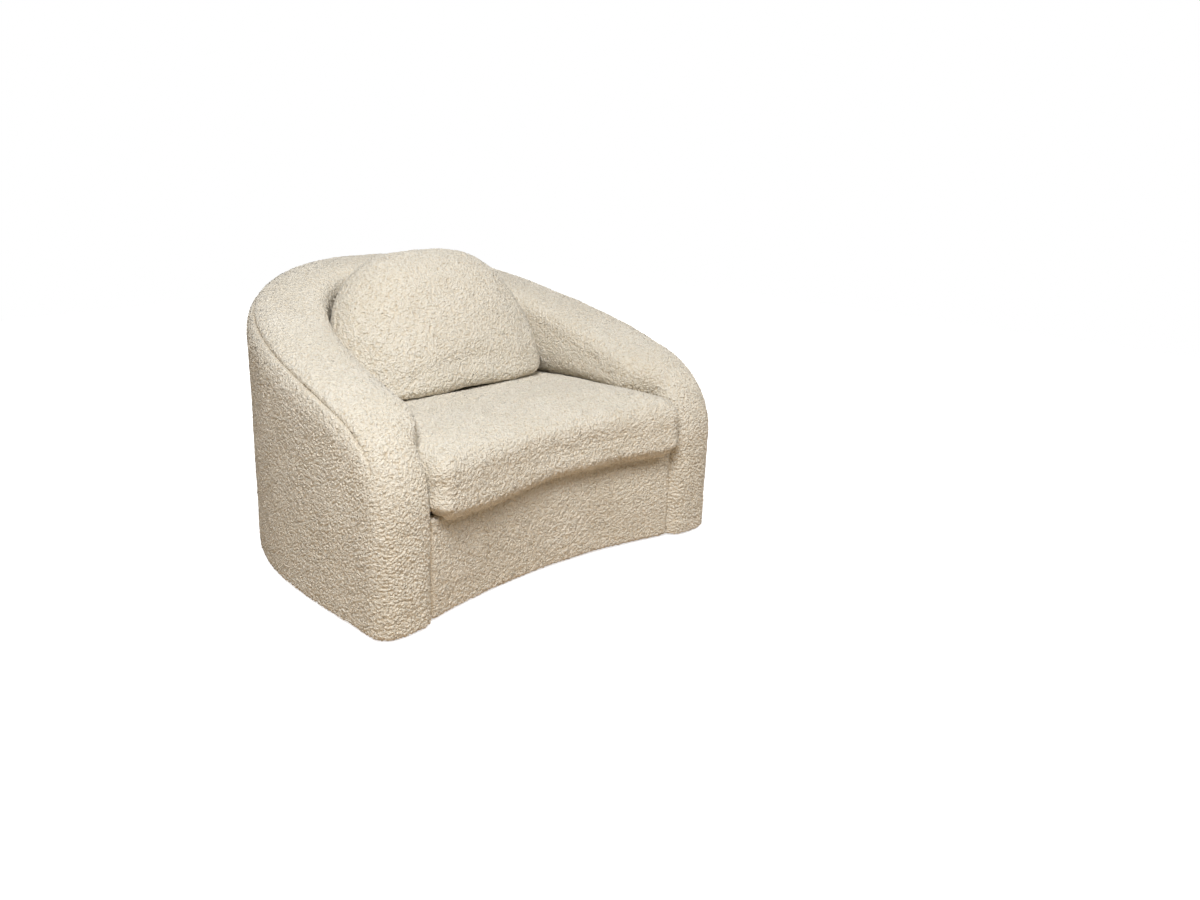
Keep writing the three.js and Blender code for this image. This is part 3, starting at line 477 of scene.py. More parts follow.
def seam_fade():
    """1 along the roll, and 0 down the arm front, where no seam shows."""
    return smooth(np.clip((columns["z"] - seam_end) / seam_fades_in, 0, 1))


def seam_depth():
    """How deep the outer seam is pulled in, a little unevenly."""
    pucker = 0.75 + 0.25 * np.sin(columns["run"] / (19 * MM)) * np.sin(columns["run"] / (31 * MM) + 1)
    return seam_pull * seam_fade() * pucker


def groove(distance):
    """Tuck of the skin at a distance from a seam, for every column."""
    return seam_depth()[:, None] * np.exp(-((distance / seam_width) ** 2))


def patch(edge_run, edge_z, first, corner, bottom):
    """Points in (run, z) that fill the side of the wall inside an edge curve, down to a level."""
    left = np.stack([edge_run[first : corner + 1], edge_z[first : corner + 1]], axis=-1)
    top = np.stack([edge_run[corner:], edge_z[corner:]], axis=-1)
    u, v = np.linspace(0, 1, len(top)), np.linspace(0, 1, len(left))
    foot = np.stack([mix(left[0, 0], middle, u), np.full(len(u), bottom)], axis=-1)
    right = np.stack([np.full(len(v), middle), mix(bottom, top[-1, 1], v)], axis=-1)
    foot[0], right[0], right[-1] = left[0], foot[-1], top[-1]
    a, b = u[None, :, None], v[:, None, None]
    points = (1 - a) * left[:, None] + a * right[:, None] + (1 - b) * foot[None] + b * top[None]
    points -= (1 - a) * (1 - b) * left[0] + a * (1 - b) * foot[-1] + (1 - a) * b * top[0] + a * b * top[-1]
    points[:, 0], points[:, -1], points[0], points[-1] = left, right, foot, top
    return points


def outside_cover():
    """The outer side of the wall, from the seam on the roll down to the turned-in hem."""
    skin = Skin()
    shares = np.linspace(1, seam_share, 40)
    depth, offset, reach = evenly(*section("outer", shares), int(0.075 / step))
    run, z, offset = on_wall(depth, offset)
    distance = reach * np.linspace(1, 0, depth.shape[1])[None, :]
    skin.grid(wall_at(run, offset, z), groove(distance))
    turned = section("outer", [seam_share], inset=seam_turn * seam_fade()[:, None])
    edge = [np.concatenate([a[:, -1:], b], axis=1) for a, b in zip((run, z, offset), on_wall(*turned))]
    skin.grid(wall_at(edge[0], edge[2], edge[1]), np.concatenate([groove(0 * reach), 0 * reach], axis=1))
    foot_run, foot_z = run[:, 0], z[:, 0]
    hem, corner = columns["hem"], columns["corner"]
    side = patch(foot_run, foot_z, hem, corner, foot_z[hem])
    skin.grid(wall_at(side[..., 0], np.full(side.shape[:2], half_wall), side[..., 1]), flip=True)
    low_run = np.repeat(side[0:1, :, 0], hem + 1, axis=0)
    low_z = np.repeat(foot_z[: hem + 1, None], side.shape[1], axis=1)
    low_offset = np.repeat(half_wall - columns["inset"][: hem + 1, None], side.shape[1], axis=1)
    skin.grid(wall_at(low_run, low_offset, low_z), flip=True)
    skin.mirrored()
    return skin.mesh("outside_cover_cloth")


def inside_cover():
    """From the seam over the roll and the arm noses, and down the inside of the wall."""
    skin = Skin()
    over = [
        section("outer", np.linspace(seam_share, 0, 40)),
        section("inner", np.linspace(0, 1, 60)[1:]),
        section("return", np.linspace(0, 1, 24)[1:]),
    ]
    depth = np.concatenate([d for d, _ in over], axis=1)
    offset = np.concatenate([o for _, o in over], axis=1)
    depth, offset, reach = evenly(depth, offset, int(0.36 / step))
    run, z, offset = on_wall(depth, offset)
    distance = reach * np.linspace(0, 1, depth.shape[1])[None, :]
    skin.grid(wall_at(run, offset, z), groove(distance))
    turned = section("outer", [seam_share], inset=seam_turn * seam_fade()[:, None])
    edge = [np.concatenate([b, a[:, :1]], axis=1) for a, b in zip((run, z, offset), on_wall(*turned))]
    skin.grid(wall_at(edge[0], edge[2], edge[1]), np.concatenate([0 * reach, groove(0 * reach)], axis=1))
    end_run, end_z = run[:, -1], z[:, -1]
    first = int(np.searchsorted(columns["z"][: columns["corner"]], lining_bottom))
    side = patch(end_run, end_z, first, columns["corner"], end_z[first])
    skin.grid(wall_at(side[..., 0], np.full(side.shape[:2], -half_wall), side[..., 1]))
    skin.mirrored()
    return skin.mesh("inside_and_roll_cloth")


# Apron, deck and dust cover
def apron_face(x):
    """Where the apron's face lies: a little behind the arm fronts, and further back in the middle."""
    return arm_front + apron_recess + apron_bow * (1 - (x / pocket) ** 2)


def apron_cloth():
    """The front under the seat, bowed inward, with its hem and its flange turned back under the cushion."""
    across = np.linspace(-pocket + 0.5 * MM, pocket - 0.5 * MM, int(2 * pocket / step))
    back, z = [inset for inset, _ in hem_profile()], [cover_bottom + up for _, up in hem_profile()]
    for level in np.arange(cover_bottom + hem_radius, apron_top - apron_lip, step):
        back.append(0)
        z.append(level)
    for angle in np.radians([0, 15, 30, 45, 60, 75, 90]):
        back.append(apron_lip * (1 - math.cos(angle)))
        z.append(apron_top - apron_lip + apron_lip * math.sin(angle))
    for depth in np.arange(apron_lip + step, apron_flange, step):
        back.append(depth)
        z.append(apron_top)
    back, z = np.array(back)[None, :], np.array(z)[None, :]
    x = across[:, None]
    share = np.clip((z - cover_bottom) / (apron_top - cover_bottom), 0, 1)
    fill = apron_fill * np.sin(share * math.pi) ** 0.7
    edge = np.exp(-(((pocket - np.abs(x)) / (7 * MM)) ** 2))
    y = apron_face(x) + back - fill * (back < apron_lip) + 0 * z
    points = np.stack(np.broadcast_arrays(x, y, z), axis=-1)
    skin = Skin()
    skin.grid(points, np.broadcast_to(6 * MM * edge, points.shape[:2]).copy())
    return skin.mesh("apron_cloth")


def well_sheet(name, offset, front, level, sag, thickness):
    """A cloth over the inside of the wall's plan: columns of points from a front line to the wall."""
    run = np.linspace(arm_straight * 0.2, middle, 1200)
    edge = wall_at(run, offset, 0)
    side = -edge[:, 0].min()
    sweep = np.linspace(-math.pi / 2, math.pi / 2, 121)
    x = side * np.sin(sweep)
    back = np.interp(-np.abs(x), edge[:, 0], edge[:, 1])
    start = front(x)
    share = np.linspace(0, 1, 81)[None, :]
    y = start[:, None] + (np.maximum(back, start + 2 * MM) - start)[:, None] * share
    dip = np.sin(share * math.pi) ** 0.6 * (np.cos(sweep)[:, None]) ** 0.6
    top = level - sag * dip
    points = np.stack(np.broadcast_arrays(x[:, None], y, top), axis=-1)
    skin = Skin()
    skin.grid(points)
    obj = skin.mesh(name)
    facing(obj, lambda p: np.tile([0, 0, 1.0], (len(p), 1)))
    area = sum(p.area for p in obj.data.polygons)
    thicken(obj, thickness)
    return obj, area, (2 * side, float(back.max() - start.min()))


def apply_modifiers(obj):
    """Applies an object's modifiers in their order."""
    bpy.ops.object.select_all(action="DESELECT")
    obj.select_set(True)
    bpy.context.view_layer.objects.active = obj
    for modifier in list(obj.modifiers):
        bpy.ops.object.modifier_apply(modifier=modifier.name)
    obj.select_set(False)


def thicken(obj, thickness):
    """Gives a sheet its thickness, on the side away from where it faces."""
    solid = obj.modifiers.new("thickness", "SOLIDIFY")
    solid.thickness = thickness
    solid.offset = -1
    apply_modifiers(obj)
    obj.data.shade_smooth()


# Loose cushions, swollen as cloth
def fitted(obj, node):
    """Stretches a cover to the corners of the node that it stands for."""
    points = places(obj)
    low, high = points.min(axis=0), points.max(axis=0)
    goal_low, goal_high = (np.array(corner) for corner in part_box(node))
    put(obj, goal_low + (points - low) * (goal_high - goal_low) / (high - low))


def swollen(name, node, voxel, relaxed, ironed, cover, cap):
    """A copy of a filling, remeshed, swollen by a short cloth simulation, capped, ironed and subdivided."""
    mesh = frame["nodes"][node].data.copy()
    obj = bpy.data.objects.new(name, mesh)
    bpy.context.scene.collection.objects.link(obj)
    mesh.materials.clear()
    shell = bmesh.new()
    shell.from_mesh(mesh)
    bmesh.ops.remove_doubles(shell, verts=shell.verts, dist=0.01 * MM)
    shell.to_mesh(mesh)
    shell.free()
    bpy.ops.object.select_all(action="DESELECT")
    obj.select_set(True)
    bpy.context.view_layer.objects.active = obj
    mesh.remesh_voxel_size = voxel
    mesh.remesh_voxel_adaptivity = 0
    bpy.ops.object.voxel_remesh()
    relax = obj.modifiers.new("relax", "SMOOTH")
    relax.factor = 0.5
    relax.iterations = relaxed
    apply_modifiers(obj)
    put(obj, places(obj) + cover * normals(obj))
    start = places(obj)
    cloth = obj.modifiers.new("swell", "CLOTH")
    cloth.settings.quality = 5
    cloth.settings.mass = 0.3
    cloth.settings.use_pressure = True
    cloth.settings.uniform_pressure_force = air_pressure
    cloth.settings.effector_weights.gravity = 0
    scene = bpy.context.scene
    for number in range(1, cloth_frames + 1):
        scene.frame_set(number)
    evaluated = obj.evaluated_get(bpy.context.evaluated_depsgraph_get())
    move = read_points(evaluated.data) - start
    obj.modifiers.clear()
    scene.frame_set(1)
    looks = normals(obj)
    inward = np.minimum(0, np.einsum("ij,ij->i", move, looks))
    move -= (1 - inward_kept) * looks * inward[:, None]
    size = np.linalg.norm(move, axis=1)[:, None]
    put(obj, start + move * np.minimum(1, cap / np.maximum(size, 1e-9)))
    iron = obj.modifiers.new("iron", "SMOOTH")
    iron.factor = 0.5
    iron.iterations = ironed
    finer = obj.modifiers.new("finer", "SUBSURF")
    finer.levels = finer.render_levels = 1
    apply_modifiers(obj)
    return obj


def front_sag(x):
    """How far the cushion's lower front edge hangs below the deck, in front of the apron."""
    deep = sag_even + sag_deep * np.exp(-(((x - sag_deep_at) / sag_deep_spread) ** 2))
    deep -= sag_raised * np.exp(-(((x - sag_raised_at) / sag_raised_spread) ** 2))
    return deep * smooth(np.clip((pocket - 4 * MM - np.abs(x)) / (60 * MM), 0, 1))


def pillow_dent(points):
    """Where the pillow's weight presses the cushion down, from 0 to 1."""
    over_x = np.maximum(0, np.abs(points[:, 0]) - dent_half)
    over_y = np.maximum(0, dent_front - points[:, 1])
    return smooth(np.clip(1 - np.hypot(over_x, over_y) / dent_rim, 0, 1))


def seat_cushion():
    """The boxed cushion: swollen, dented by the pillow, and hanging a little over the apron."""
    obj = swollen("seat_cushion_boucle", "seat_cushion_core", **cushion_swelling)
    fitted(obj, "seat_cushion_cover")
    points, looks = places(obj), normals(obj)
    # the filling rounds the boxing out again, all but at the back
    flank = np.clip(1.2 - np.abs(looks[:, 2]) * 1.6, 0, 1)
    flank *= smooth(np.clip((160 * MM - points[:, 1]) / (120 * MM), 0, 1))
    flank *= np.clip(1 - ((points[:, 2] - boxing_middle) / boxing_half) ** 2, 0, 1)
    points += boxing_fill * flank[:, None] * looks * np.array([1, 1, 0])
    put(obj, points)
    looks = normals(obj)
    # the boxing's two seams, just under and over the rounded edges
    side = np.clip(1 - np.abs(looks[:, 2]) * 1.05, 0, 1)
    tuck = np.zeros(len(points))
    for level, depth in boxing_seams:
        tuck += depth * np.exp(-(((points[:, 2] - level) / (4 * MM)) ** 2)) * np.minimum(1, side * 3)
    store(obj, "tuck", tuck)
    upholster(obj, padding=2.2 * MM, sink=1.5 * MM)
    points = places(obj)
    # flat where it lies on the deck, pressed down under the pillow, and hanging over the apron
    points[:, 2] = np.maximum(points[:, 2], cushion_low + 0.3 * MM)
    upper = smooth(np.clip((points[:, 2] - zip_level - 25 * MM) / (60 * MM), 0, 1))
    points[:, 2] -= dent_depth * pillow_dent(points) * upper
    ahead = smooth(np.clip((apron_face(points[:, 0]) - 8 * MM - points[:, 1]) / (14 * MM), 0, 1))
    lower = smooth(np.clip((zip_level + 30 * MM - points[:, 2]) / (90 * MM), 0, 1))
    points[:, 2] -= front_sag(points[:, 0]) * ahead * lower
    # the zip's channel in the back boxing
    radius = np.hypot(points[:, 0], points[:, 1] - zip_centre)
    angle = np.arctan2(points[:, 0], points[:, 1] - zip_centre)
    near = np.clip((15 * MM - np.abs(points[:, 2] - zip_level)) / (6 * MM), 0, 1)
    near *= np.clip((zip_angle - np.abs(angle)) / math.radians(0.8), 0, 1)
    over = np.maximum(0, radius - (zip_radius - zip_recess)) * smooth(near)
    share = 1 - over / np.maximum(radius, 0.1)
    points[:, 0] *= share
    points[:, 1] = zip_centre + (points[:, 1] - zip_centre) * share
    put(obj, points)
    return obj


def back_pillow():
    """The half-round pillow: swollen, seamed round its edge, and sunk into the cushion."""
    obj = swollen("back_pillow_boucle", "back_pillow_fill", **pillow_swelling)
    fitted(obj, "back_pillow_cover")
    points = places(obj)
    # one seam round its edge, in the leaning plane between front and back
    along, above = points[:, 1] - pillow_foot.y, points[:, 2] - pillow_foot.z
    out = along * math.cos(pillow_lean) - above * math.sin(pillow_lean)
    store(obj, "tuck", pillow_seam * np.exp(-((out / (4 * MM)) ** 2)))
    upholster(obj, padding=3.4 * MM, sink=1.5 * MM)
    points = places(obj)
    # its flat underside, which sinks into the seat cushion, with the zip's channel
    seat = plateau + 0.5 * MM
    points[:, 2] = np.maximum(points[:, 2], seat)
    near = np.clip((14 * MM - np.abs(points[:, 1] - pillow_zip_at)) / (5 * MM), 0, 1)
    near *= np.clip((pillow_zip_half - np.abs(points[:, 0])) / (4 * MM), 0, 1)
    near *= points[:, 2] < seat + 12 * MM
    points[:, 2] = np.maximum(points[:, 2], mix(seat, seat + pillow_zip_recess, smooth(near)))
    low = smooth(np.clip(1 - (points[:, 2] - seat) / (130 * MM), 0, 1))
    rim = np.clip((np.hypot(points[:, 0] / 1.4, points[:, 1] - 100 * MM) - 140 * MM) / (50 * MM), 0, 1)
    rim = mix(rim, 1, smooth(np.clip((points[:, 2] - seat - 4 * MM) / (25 * MM), 0, 1)))
    points[:, 2] -= pillow_sink * low * rim
    put(obj, points)
    return obj


# Finishes: the scale of a noise or of grains is how many there are in a metre
class Finish:
    """A node material, wired step by step from the place on the piece to its shader."""

    def __init__(self, name):
        self.material = bpy.data.materials.new(name)
        self.material.use_nodes = True
        self.tree = self.material.node_tree
        self.shader = self.tree.nodes["Principled BSDF"]
        self.place = self.node("ShaderNodeTexCoord").outputs["Object"]

    def node(self, kind, **values):
        made = self.tree.nodes.new(kind)
        for key, value in values.items():
            if key in made.inputs:
                made.inputs[key].default_value = value
            else:
                setattr(made, key, value)
        return made

    def join(self, source, target):
        self.tree.links.new(source, target)

    def stretched(self, scale):
        """The place on the piece, scaled along each axis."""
        mapping = self.node("ShaderNodeMapping")
        mapping.inputs["Scale"].default_value = scale
        self.join(self.place, mapping.inputs["Vector"])
        return mapping.outputs["Vector"]

    def noise(self, scale, detail=3.0, roughness=0.5, vector=None, distortion=0.0):
        made = self.node("ShaderNodeTexNoise")
        made.inputs["Scale"].default_value = scale
        made.inputs["Detail"].default_value = detail
        made.inputs["Roughness"].default_value = roughness
        made.inputs["Distortion"].default_value = distortion
        self.join(vector or self.place, made.inputs["Vector"])
        return made.outputs["Fac"]

    def wobbled(self, scale, amount):
        """The place on the piece, shifted a little to and fro."""
        shift = self.node("ShaderNodeTexNoise", Scale=scale, Detail=1.0)
        self.join(self.place, shift.inputs["Vector"])
        made = self.node("ShaderNodeVectorMath", operation="MULTIPLY_ADD")
        made.inputs[1].default_value = (amount, amount, amount)
        self.join(shift.outputs["Color"], made.inputs[0])
        self.join(self.place, made.inputs[2])
        return made.outputs["Vector"]

    def grains(self, vector, scale, turn):
        """Rounded grains, 1 on top of each and 0 in the creases between them."""
        moved = self.node("ShaderNodeMapping")
        moved.inputs["Rotation"].default_value = turn
        self.join(vector, moved.inputs["Vector"])
        cells = self.node("ShaderNodeTexVoronoi", feature="F1", Scale=scale)
        self.join(moved.outputs["Vector"], cells.inputs["Vector"])
        wide = self.math("POWER", self.math("MULTIPLY", cells.outputs["Distance"], 1.2), 2.0)
        return self.math("MAXIMUM", self.math("SUBTRACT", 1.0, wide), 0.0)

    def ramp(self, value, *stops):
        """Colours at positions from 0 to 1, blended between them."""
        made = self.node("ShaderNodeValToRGB")
        ramp = made.color_ramp
        while len(ramp.elements) < len(stops):
            ramp.elements.new(0.5)
        for element, (position, color) in zip(ramp.elements, stops):
            element.position = position
            element.color = (*color, 1)
        self.join(value, made.inputs["Fac"])
        return made.outputs["Color"]

    def math(self, operation, a, b):
        made = self.node("ShaderNodeMath", operation=operation)
        for socket, value in zip(made.inputs, (a, b)):
            if isinstance(value, (int, float)):
                socket.default_value = value
            else:
                self.join(value, socket)
        return made.outputs[0]

    def weighed(self, a, part_a, b, part_b):
        """The sum of two values, each times its part."""
        return self.math("ADD", self.math("MULTIPLY", a, part_a), self.math("MULTIPLY", b, part_b))

    def tinted(self, color, tint):
        """One colour multiplied by another."""
        made = self.node("ShaderNodeMix", data_type="RGBA", blend_type="MULTIPLY")
        made.inputs["Factor"].default_value = 1.0
        self.join(color, made.inputs[6])
        self.join(tint, made.inputs[7])
        return made.outputs[2]

    def color(self, source):
        self.join(source, self.shader.inputs["Base Color"])

    def rough(self, source):
        if isinstance(source, (int, float)):
            self.shader.inputs["Roughness"].default_value = source
        else:
            self.join(source, self.shader.inputs["Roughness"])

    def bump(self, height, strength, distance):
        made = self.node("ShaderNodeBump")
        made.inputs["Strength"].default_value = strength
        made.inputs["Distance"].default_value = distance
        self.join(height, made.inputs["Height"])
        self.join(made.outputs["Normal"], self.shader.inputs["Normal"])


def boucle():
    """Looped yarn: curls of the mesh and finer loops between them; its colour is pale cream on the tips and
    carries painted shade, warm and dark in the hollows and along the seams.
    """
    f = Finish("boucle")
    nub = f.node("ShaderNodeAttribute", attribute_name="nub").outputs["Fac"]
    place = f.wobbled(140, 0.004)
    wide, narrow = f.grains(place, 170, (0.6, 0.4, 0.2)), f.grains(place, 260, (1.3, 0.2, 0.9))
    loops = f.weighed(wide, 0.6, narrow, 0.4)
    yarn = f.noise(900, 2.0, 0.6)
    height = f.math("ADD", f.weighed(nub, 0.5, loops, 0.4), f.math("MULTIPLY", yarn, 0.2))
    # the low stops are painted shade in the hollows between curls and loops; the high stops are the yarn's
    # own pale cream
    wool_and_painted_shade = f.ramp(
        height,
        (0.10, (0.625, 0.50, 0.335)),
        (0.38, (0.775, 0.68, 0.53)),
        (0.64, (0.865, 0.80, 0.675)),
        (0.95, (0.90, 0.855, 0.755)),
    )
    fleck = f.ramp(f.noise(7, 3.0, 0.6), (0.35, (0.95, 0.94, 0.92)), (0.65, (1.0, 1.0, 1.0)))
    f.color(f.tinted(wool_and_painted_shade, fleck))
    f.rough(0.95)
    f.shader.inputs["Sheen Weight"].default_value = 0.2
    f.shader.inputs["Sheen Roughness"].default_value = 0.55
    f.shader.inputs["Specular IOR Level"].default_value = 0.15
    relief = f.math("ADD", loops, f.math("MULTIPLY", yarn, 0.15))
    f.bump(relief, 1.0, 0.0046)
    return f.material


# Width of one band of a wave texture of scale 1, in metres
band_at_scale_one = 0.314


def plain_weave(name, dark, light, pitch, relief=0.0006):
    """A flat woven cloth: crossing threads of a pitch in metres, with a slow change of tone."""
    f = Finish(name)
    warp = f.node("ShaderNodeTexWave", wave_type="BANDS", bands_direction="X")
    weft = f.node("ShaderNodeTexWave", wave_type="BANDS", bands_direction="Y")
    for wave in (warp, weft):
        wave.inputs["Scale"].default_value = band_at_scale_one / pitch
        wave.inputs["Distortion"].default_value = 1.2
        wave.inputs["Detail"].default_value = 1.0
        f.join(f.place, wave.inputs["Vector"])
    threads = f.math("MULTIPLY", warp.outputs["Fac"], weft.outputs["Fac"])
    tone = f.noise(9, 4.0, 0.6)
    f.color(f.ramp(f.weighed(threads, 0.6, tone, 0.4), (0.2, dark), (0.8, light)))
    f.rough(0.95)
    f.bump(threads, 0.7, relief)
    return f.material


def fibrous(name, dark, light, size, relief):
    """Foam or wadding: open pores or loose fibres."""
    f = Finish(name)
    pores = f.noise(size, 5.0, 0.75, distortion=0.4)
    cloud = f.noise(11, 3.0)
    f.color(f.ramp(f.weighed(pores, 0.7, cloud, 0.3), (0.3, dark), (0.7, light)))
    f.rough(0.97)
    f.bump(pores, 0.7, relief)
    return f.material


def sawn_timber(name, dark, light, direction):
    """Wood with its grain stretched one way, and fine pores along it."""
    f = Finish(name)
    grain = f.stretched(direction)
    lines = f.noise(26, 6.0, 0.65, vector=grain, distortion=1.4)
    pores = f.noise(160, 3.0, 0.6, vector=grain)
    f.color(f.ramp(f.weighed(lines, 0.75, pores, 0.25), (0.32, dark), (0.68, light)))
    f.rough(f.math("ADD", f.math("MULTIPLY", lines, 0.25), 0.55))
    f.bump(f.math("ADD", lines, pores), 0.35, 0.0008)
    return f.material


def metal(name, tint, rough):
    """Bare metal with fine draw marks."""
    f = Finish(name)
    brushed = f.noise(300, 3.0, 0.6, vector=f.stretched((1, 1, 6)))
    f.color(f.ramp(brushed, (0.3, tuple(0.75 * c for c in tint)), (0.7, tint)))
    f.rough(f.math("ADD", f.math("MULTIPLY", brushed, 0.2), rough))
    f.shader.inputs["Metallic"].default_value = 1
    f.bump(brushed, 0.15, 0.0003)
    return f.material


def moulded_nylon():
    """Near-black plastic with a fine moulded grain."""
    f = Finish("nylon")
    grain = f.noise(700, 3.0, 0.6)
    f.color(f.ramp(grain, (0.3, (0.022, 0.022, 0.023)), (0.7, (0.05, 0.049, 0.047))))
    f.rough(f.math("ADD", f.math("MULTIPLY", grain, 0.2), 0.35))
    f.bump(grain, 0.3, 0.0003)
    return f.material


finishes = {
    "boucle": boucle(),
    "deck_cloth": plain_weave("deck_cloth", (0.52, 0.46, 0.35), (0.76, 0.70, 0.57), 1.6 * MM),
    "foam": fibrous("foam", (0.62, 0.54, 0.30), (0.86, 0.79, 0.53), 260, 0.0012),
    "wadding": fibrous("wadding", (0.76, 0.74, 0.69), (0.92, 0.91, 0.87), 90, 0.003),
    "hessian": plain_weave("hessian", (0.25, 0.17, 0.09), (0.52, 0.40, 0.24), 2.6 * MM, 0.0012),
    "dust_cloth": plain_weave("dust_cloth", (0.012, 0.012, 0.012), (0.035, 0.035, 0.034), 1.2 * MM, 0.0003),
    "zip_tape": plain_weave("zip_tape", (0.54, 0.47, 0.35), (0.76, 0.69, 0.56), 0.9 * MM, 0.0003),
    "timber": sawn_timber("timber", (0.40, 0.25, 0.12), (0.64, 0.46, 0.27), (0.6, 0.6, 6)),
    "board": sawn_timber("board", (0.30, 0.20, 0.11), (0.46, 0.33, 0.19), (3, 3, 3)),
    "spring_steel": metal("spring_steel", (0.30, 0.31, 0.32), 0.35),
    "zip_metal": metal("zip_metal", (0.62, 0.56, 0.45), 0.25),
    "nylon": moulded_nylon(),
}


def dress(obj, slot):
    """Gives a piece its finish."""
    obj.data.materials.clear()
    obj.data.materials.append(finishes[slot])


for subpart in frame["record"]["subparts"]:
    node = frame["nodes"][subpart["node"]]
    for slot_place in node.material_slots:
        slot_place.material = finishes[subpart["material_slot"]]


# The dressed chair
def outward_wall(points):
    """Away from the middle of the chair, for points on the outer side."""
    centre = np.array([0, 0.05, 0.3])
    return points - centre


outside = outside_cover()
facing(outside, outward_wall)
outside_flat = places(outside)
upholster(outside, padding=2.6 * MM)
dress(outside, "boucle")
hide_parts("outside_cover")
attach(outside, "shell")

inside = inside_cover()
facing(inside, lambda p: np.where((p[:, 2] > 0.5)[:, None], np.array([0, 0, 1.0]), 0))
inside_flat = places(inside)
upholster(inside, padding=3.4 * MM)
sew(outside, outside_flat, inside, inside_flat)
dress(inside, "boucle")
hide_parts("inside_and_roll_cover")
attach(inside, "shell")

apron = apron_cloth()
facing(apron, lambda p: np.tile([0, -1.0, 0.2], (len(p), 1)))
upholster(apron, padding=2.2 * MM, sink=1.5 * MM)
dress(apron, "boucle")
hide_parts("apron_cover")
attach(apron, "shell")


def deck_front(x):
    """Front edge of the deck cloth, behind the apron's flange."""
    return apron_face(x) + 52 * MM


deck, deck_area, deck_flat = well_sheet(
    "deck_cloth",
    offset=-half_wall - 0.8 * MM,
    front=deck_front,
    level=apron_top - 0.2 * MM,
    sag=1.6 * MM,
    thickness=1.2 * MM,
)
dress(deck, "deck_cloth")
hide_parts("deck_cover")
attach(deck, "shell")


def dust_front(x):
    """Front edge of the dust cloth: along the apron's back, and across under the arms."""
    under_apron = apron_face(np.clip(x, -pocket, pocket)) + 54 * MM
    return np.where(np.abs(x) < pocket, under_apron, -420 * MM + (np.abs(x) - pocket) * 0.4)


dust, dust_area, dust_flat = well_sheet(
    "dust_cloth",
    offset=64.5 * MM,
    front=dust_front,
    level=9.9 * MM,
    sag=0.6 * MM,
    thickness=0.8 * MM,
)
dress(dust, "dust_cloth")
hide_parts("dust_cover")
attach(dust, "shell")

cushion = seat_cushion()
dress(cushion, "boucle")
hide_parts("seat_cushion_cover", "seat_cushion_core")
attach(cushion, "seat_cushion")

pillow = back_pillow()
dress(pillow, "boucle")
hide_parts("back_pillow_cover", "back_pillow_fill")
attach(pillow, "back_pillow")


# A pale floor that shows white to the camera but warm to the chair, and keeps the chair's shadow.
# Its glow rises to full white away from the middle, so no edge shows against the white world
bpy.ops.mesh.primitive_plane_add(size=9, location=(0, 0, 0))
floor = bpy.context.active_object
floor.name = "floor"
ground = Finish("floor")
ground.shader.inputs["Base Color"].default_value = (0.56, 0.42, 0.28, 1)
ground.rough(0.9)
path = ground.node("ShaderNodeLightPath")
paper = ground.node("ShaderNodeBsdfDiffuse")
paper.inputs["Color"].default_value = (0.86, 0.86, 0.86, 1)
glow = ground.node("ShaderNodeEmission")
glow.inputs["Color"].default_value = (1, 1, 1, 1)
from_middle = ground.node("ShaderNodeVectorMath", operation="LENGTH")
ground.join(ground.place, from_middle.inputs[0])
far = ground.node("ShaderNodeMapRange", interpolation_type="SMOOTHSTEP")
for socket, value in (("From Min", 1.0), ("From Max", 3.2), ("To Min", 0.70), ("To Max", 1.0)):
    far.inputs[socket].default_value = value
ground.join(from_middle.outputs["Value"], far.inputs["Value"])
ground.join(far.outputs["Result"], glow.inputs["Strength"])
both = ground.node("ShaderNodeAddShader")
choose = ground.node("ShaderNodeMixShader")
seen = ground.math("MAXIMUM", path.outputs["Is Camera Ray"], path.outputs["Is Glossy Ray"])
ground.join(paper.outputs[0], both.inputs[0])
ground.join(glow.outputs[0], both.inputs[1])
ground.join(seen, choose.inputs[0])
ground.join(ground.shader.outputs[0], choose.inputs[1])
ground.join(both.outputs[0], choose.inputs[2])
ground.join(choose.outputs[0], ground.tree.nodes["Material Output"].inputs["Surface"])
floor.data.materials.append(ground.material)

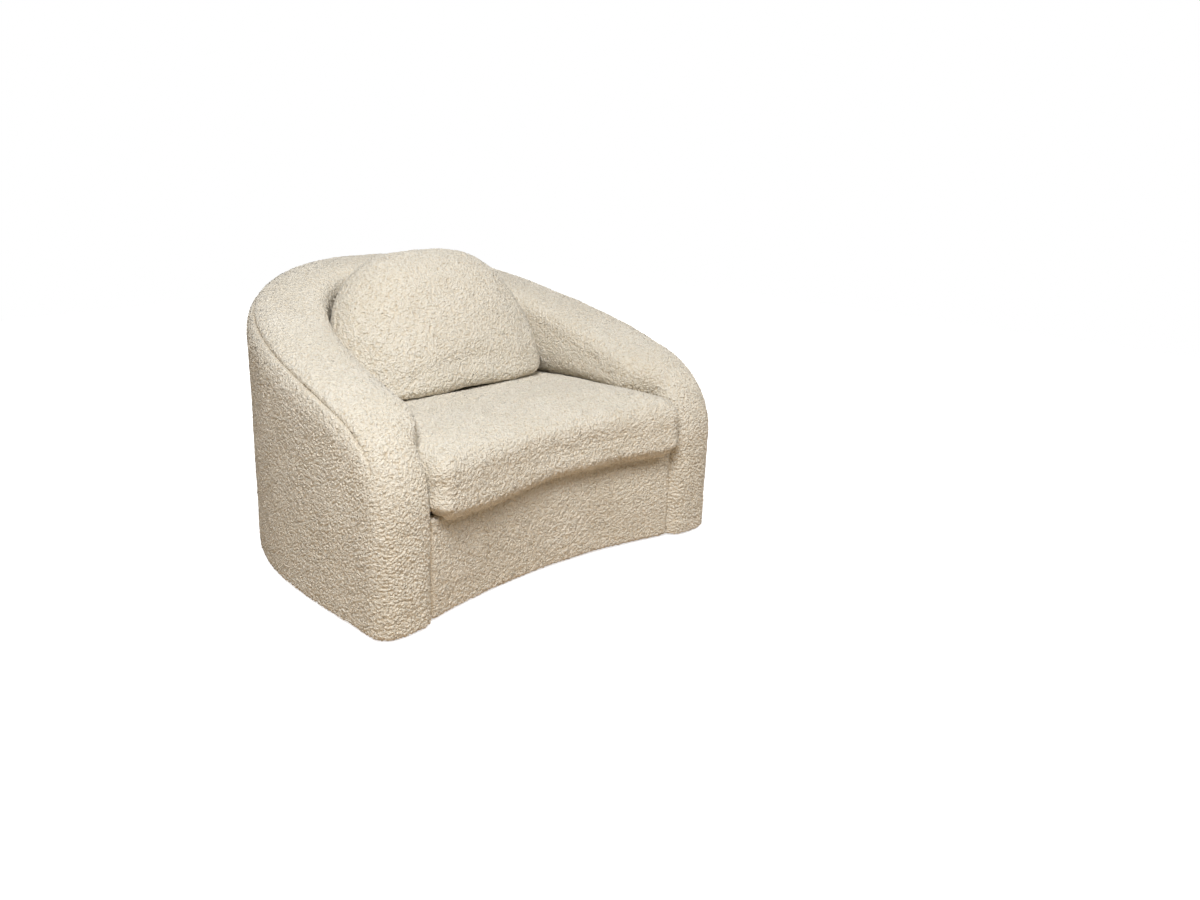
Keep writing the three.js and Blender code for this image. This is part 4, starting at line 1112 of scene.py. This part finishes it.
# The world: warm and weak on the chair, white where it is seen straight, in gloss or through glass
world = bpy.data.worlds.new("studio")
bpy.context.scene.world = world
world.use_nodes = True
tree = world.node_tree
sky = tree.nodes["Background"]
sky.inputs["Color"].default_value = (1.0, 0.945, 0.865, 1)
sky.inputs["Strength"].default_value = 0.17
white = tree.nodes.new("ShaderNodeBackground")
white.inputs["Color"].default_value = (1, 1, 1, 1)
white.inputs["Strength"].default_value = 1.0
rays = tree.nodes.new("ShaderNodeLightPath")
direct = tree.nodes.new("ShaderNodeMath")
direct.operation = "MAXIMUM"
glassy = tree.nodes.new("ShaderNodeMath")
glassy.operation = "MAXIMUM"
tree.links.new(rays.outputs["Is Camera Ray"], direct.inputs[0])
tree.links.new(rays.outputs["Is Glossy Ray"], direct.inputs[1])
tree.links.new(direct.outputs[0], glassy.inputs[0])
tree.links.new(rays.outputs["Is Transmission Ray"], glassy.inputs[1])
pick = tree.nodes.new("ShaderNodeMixShader")
tree.links.new(glassy.outputs[0], pick.inputs[0])
tree.links.new(sky.outputs[0], pick.inputs[1])
tree.links.new(white.outputs[0], pick.inputs[2])
tree.links.new(pick.outputs[0], tree.nodes["World Output"].inputs["Surface"])


def softbox(name, location, target, size, power, color):
    """A square lamp that faces its target; size in metres and power in watts."""
    lamp = bpy.data.lights.new(name, "AREA")
    lamp.shape = "RECTANGLE"
    lamp.size = lamp.size_y = size
    lamp.energy = power
    lamp.color = color
    obj = bpy.data.objects.new(name, lamp)
    obj.location = location
    obj.rotation_euler = (Vector(target) - Vector(location)).to_track_quat("-Z", "Y").to_euler()
    bpy.context.scene.collection.objects.link(obj)


# A high key from the left front raises the boucle's relief; the low lamp behind lifts the far side
softbox("key", (-1.85, -1.9, 3.2), target=(0, -0.1, 0.4), size=1.3, power=129, color=(0.97, 0.98, 1.0))
softbox("front", (1.4, -2.5, 2.9), target=(0, -0.1, 0.4), size=1.2, power=30, color=(0.985, 0.985, 1.0))
softbox("behind", (2.4, 2.6, 1.3), target=(0, 0, 0.4), size=1.6, power=58, color=(1.0, 0.98, 0.95))

# The camera, fitted to the photo: where it looks, and how far back it stands
aim = Vector((0.0002, -0.1198, 0.2723))
stands_back = 2.9948
azimuth, elevation = math.radians(-39.96), math.radians(17.31)
view = bpy.data.cameras.new("view")
view.sensor_width = 36
view.lens = 31.19
view.shift_x = 0.1031
eye = bpy.data.objects.new("view", view)
bpy.context.scene.collection.objects.link(eye)
over_floor = math.cos(elevation)
to_eye = Vector((math.sin(azimuth) * over_floor, -math.cos(azimuth) * over_floor, math.sin(elevation)))
eye.location = aim + to_eye * stands_back
eye.rotation_euler = (-to_eye).to_track_quat("-Z", "Y").to_euler()
bpy.context.scene.camera = eye
bpy.context.scene.view_settings.view_transform = "Standard"
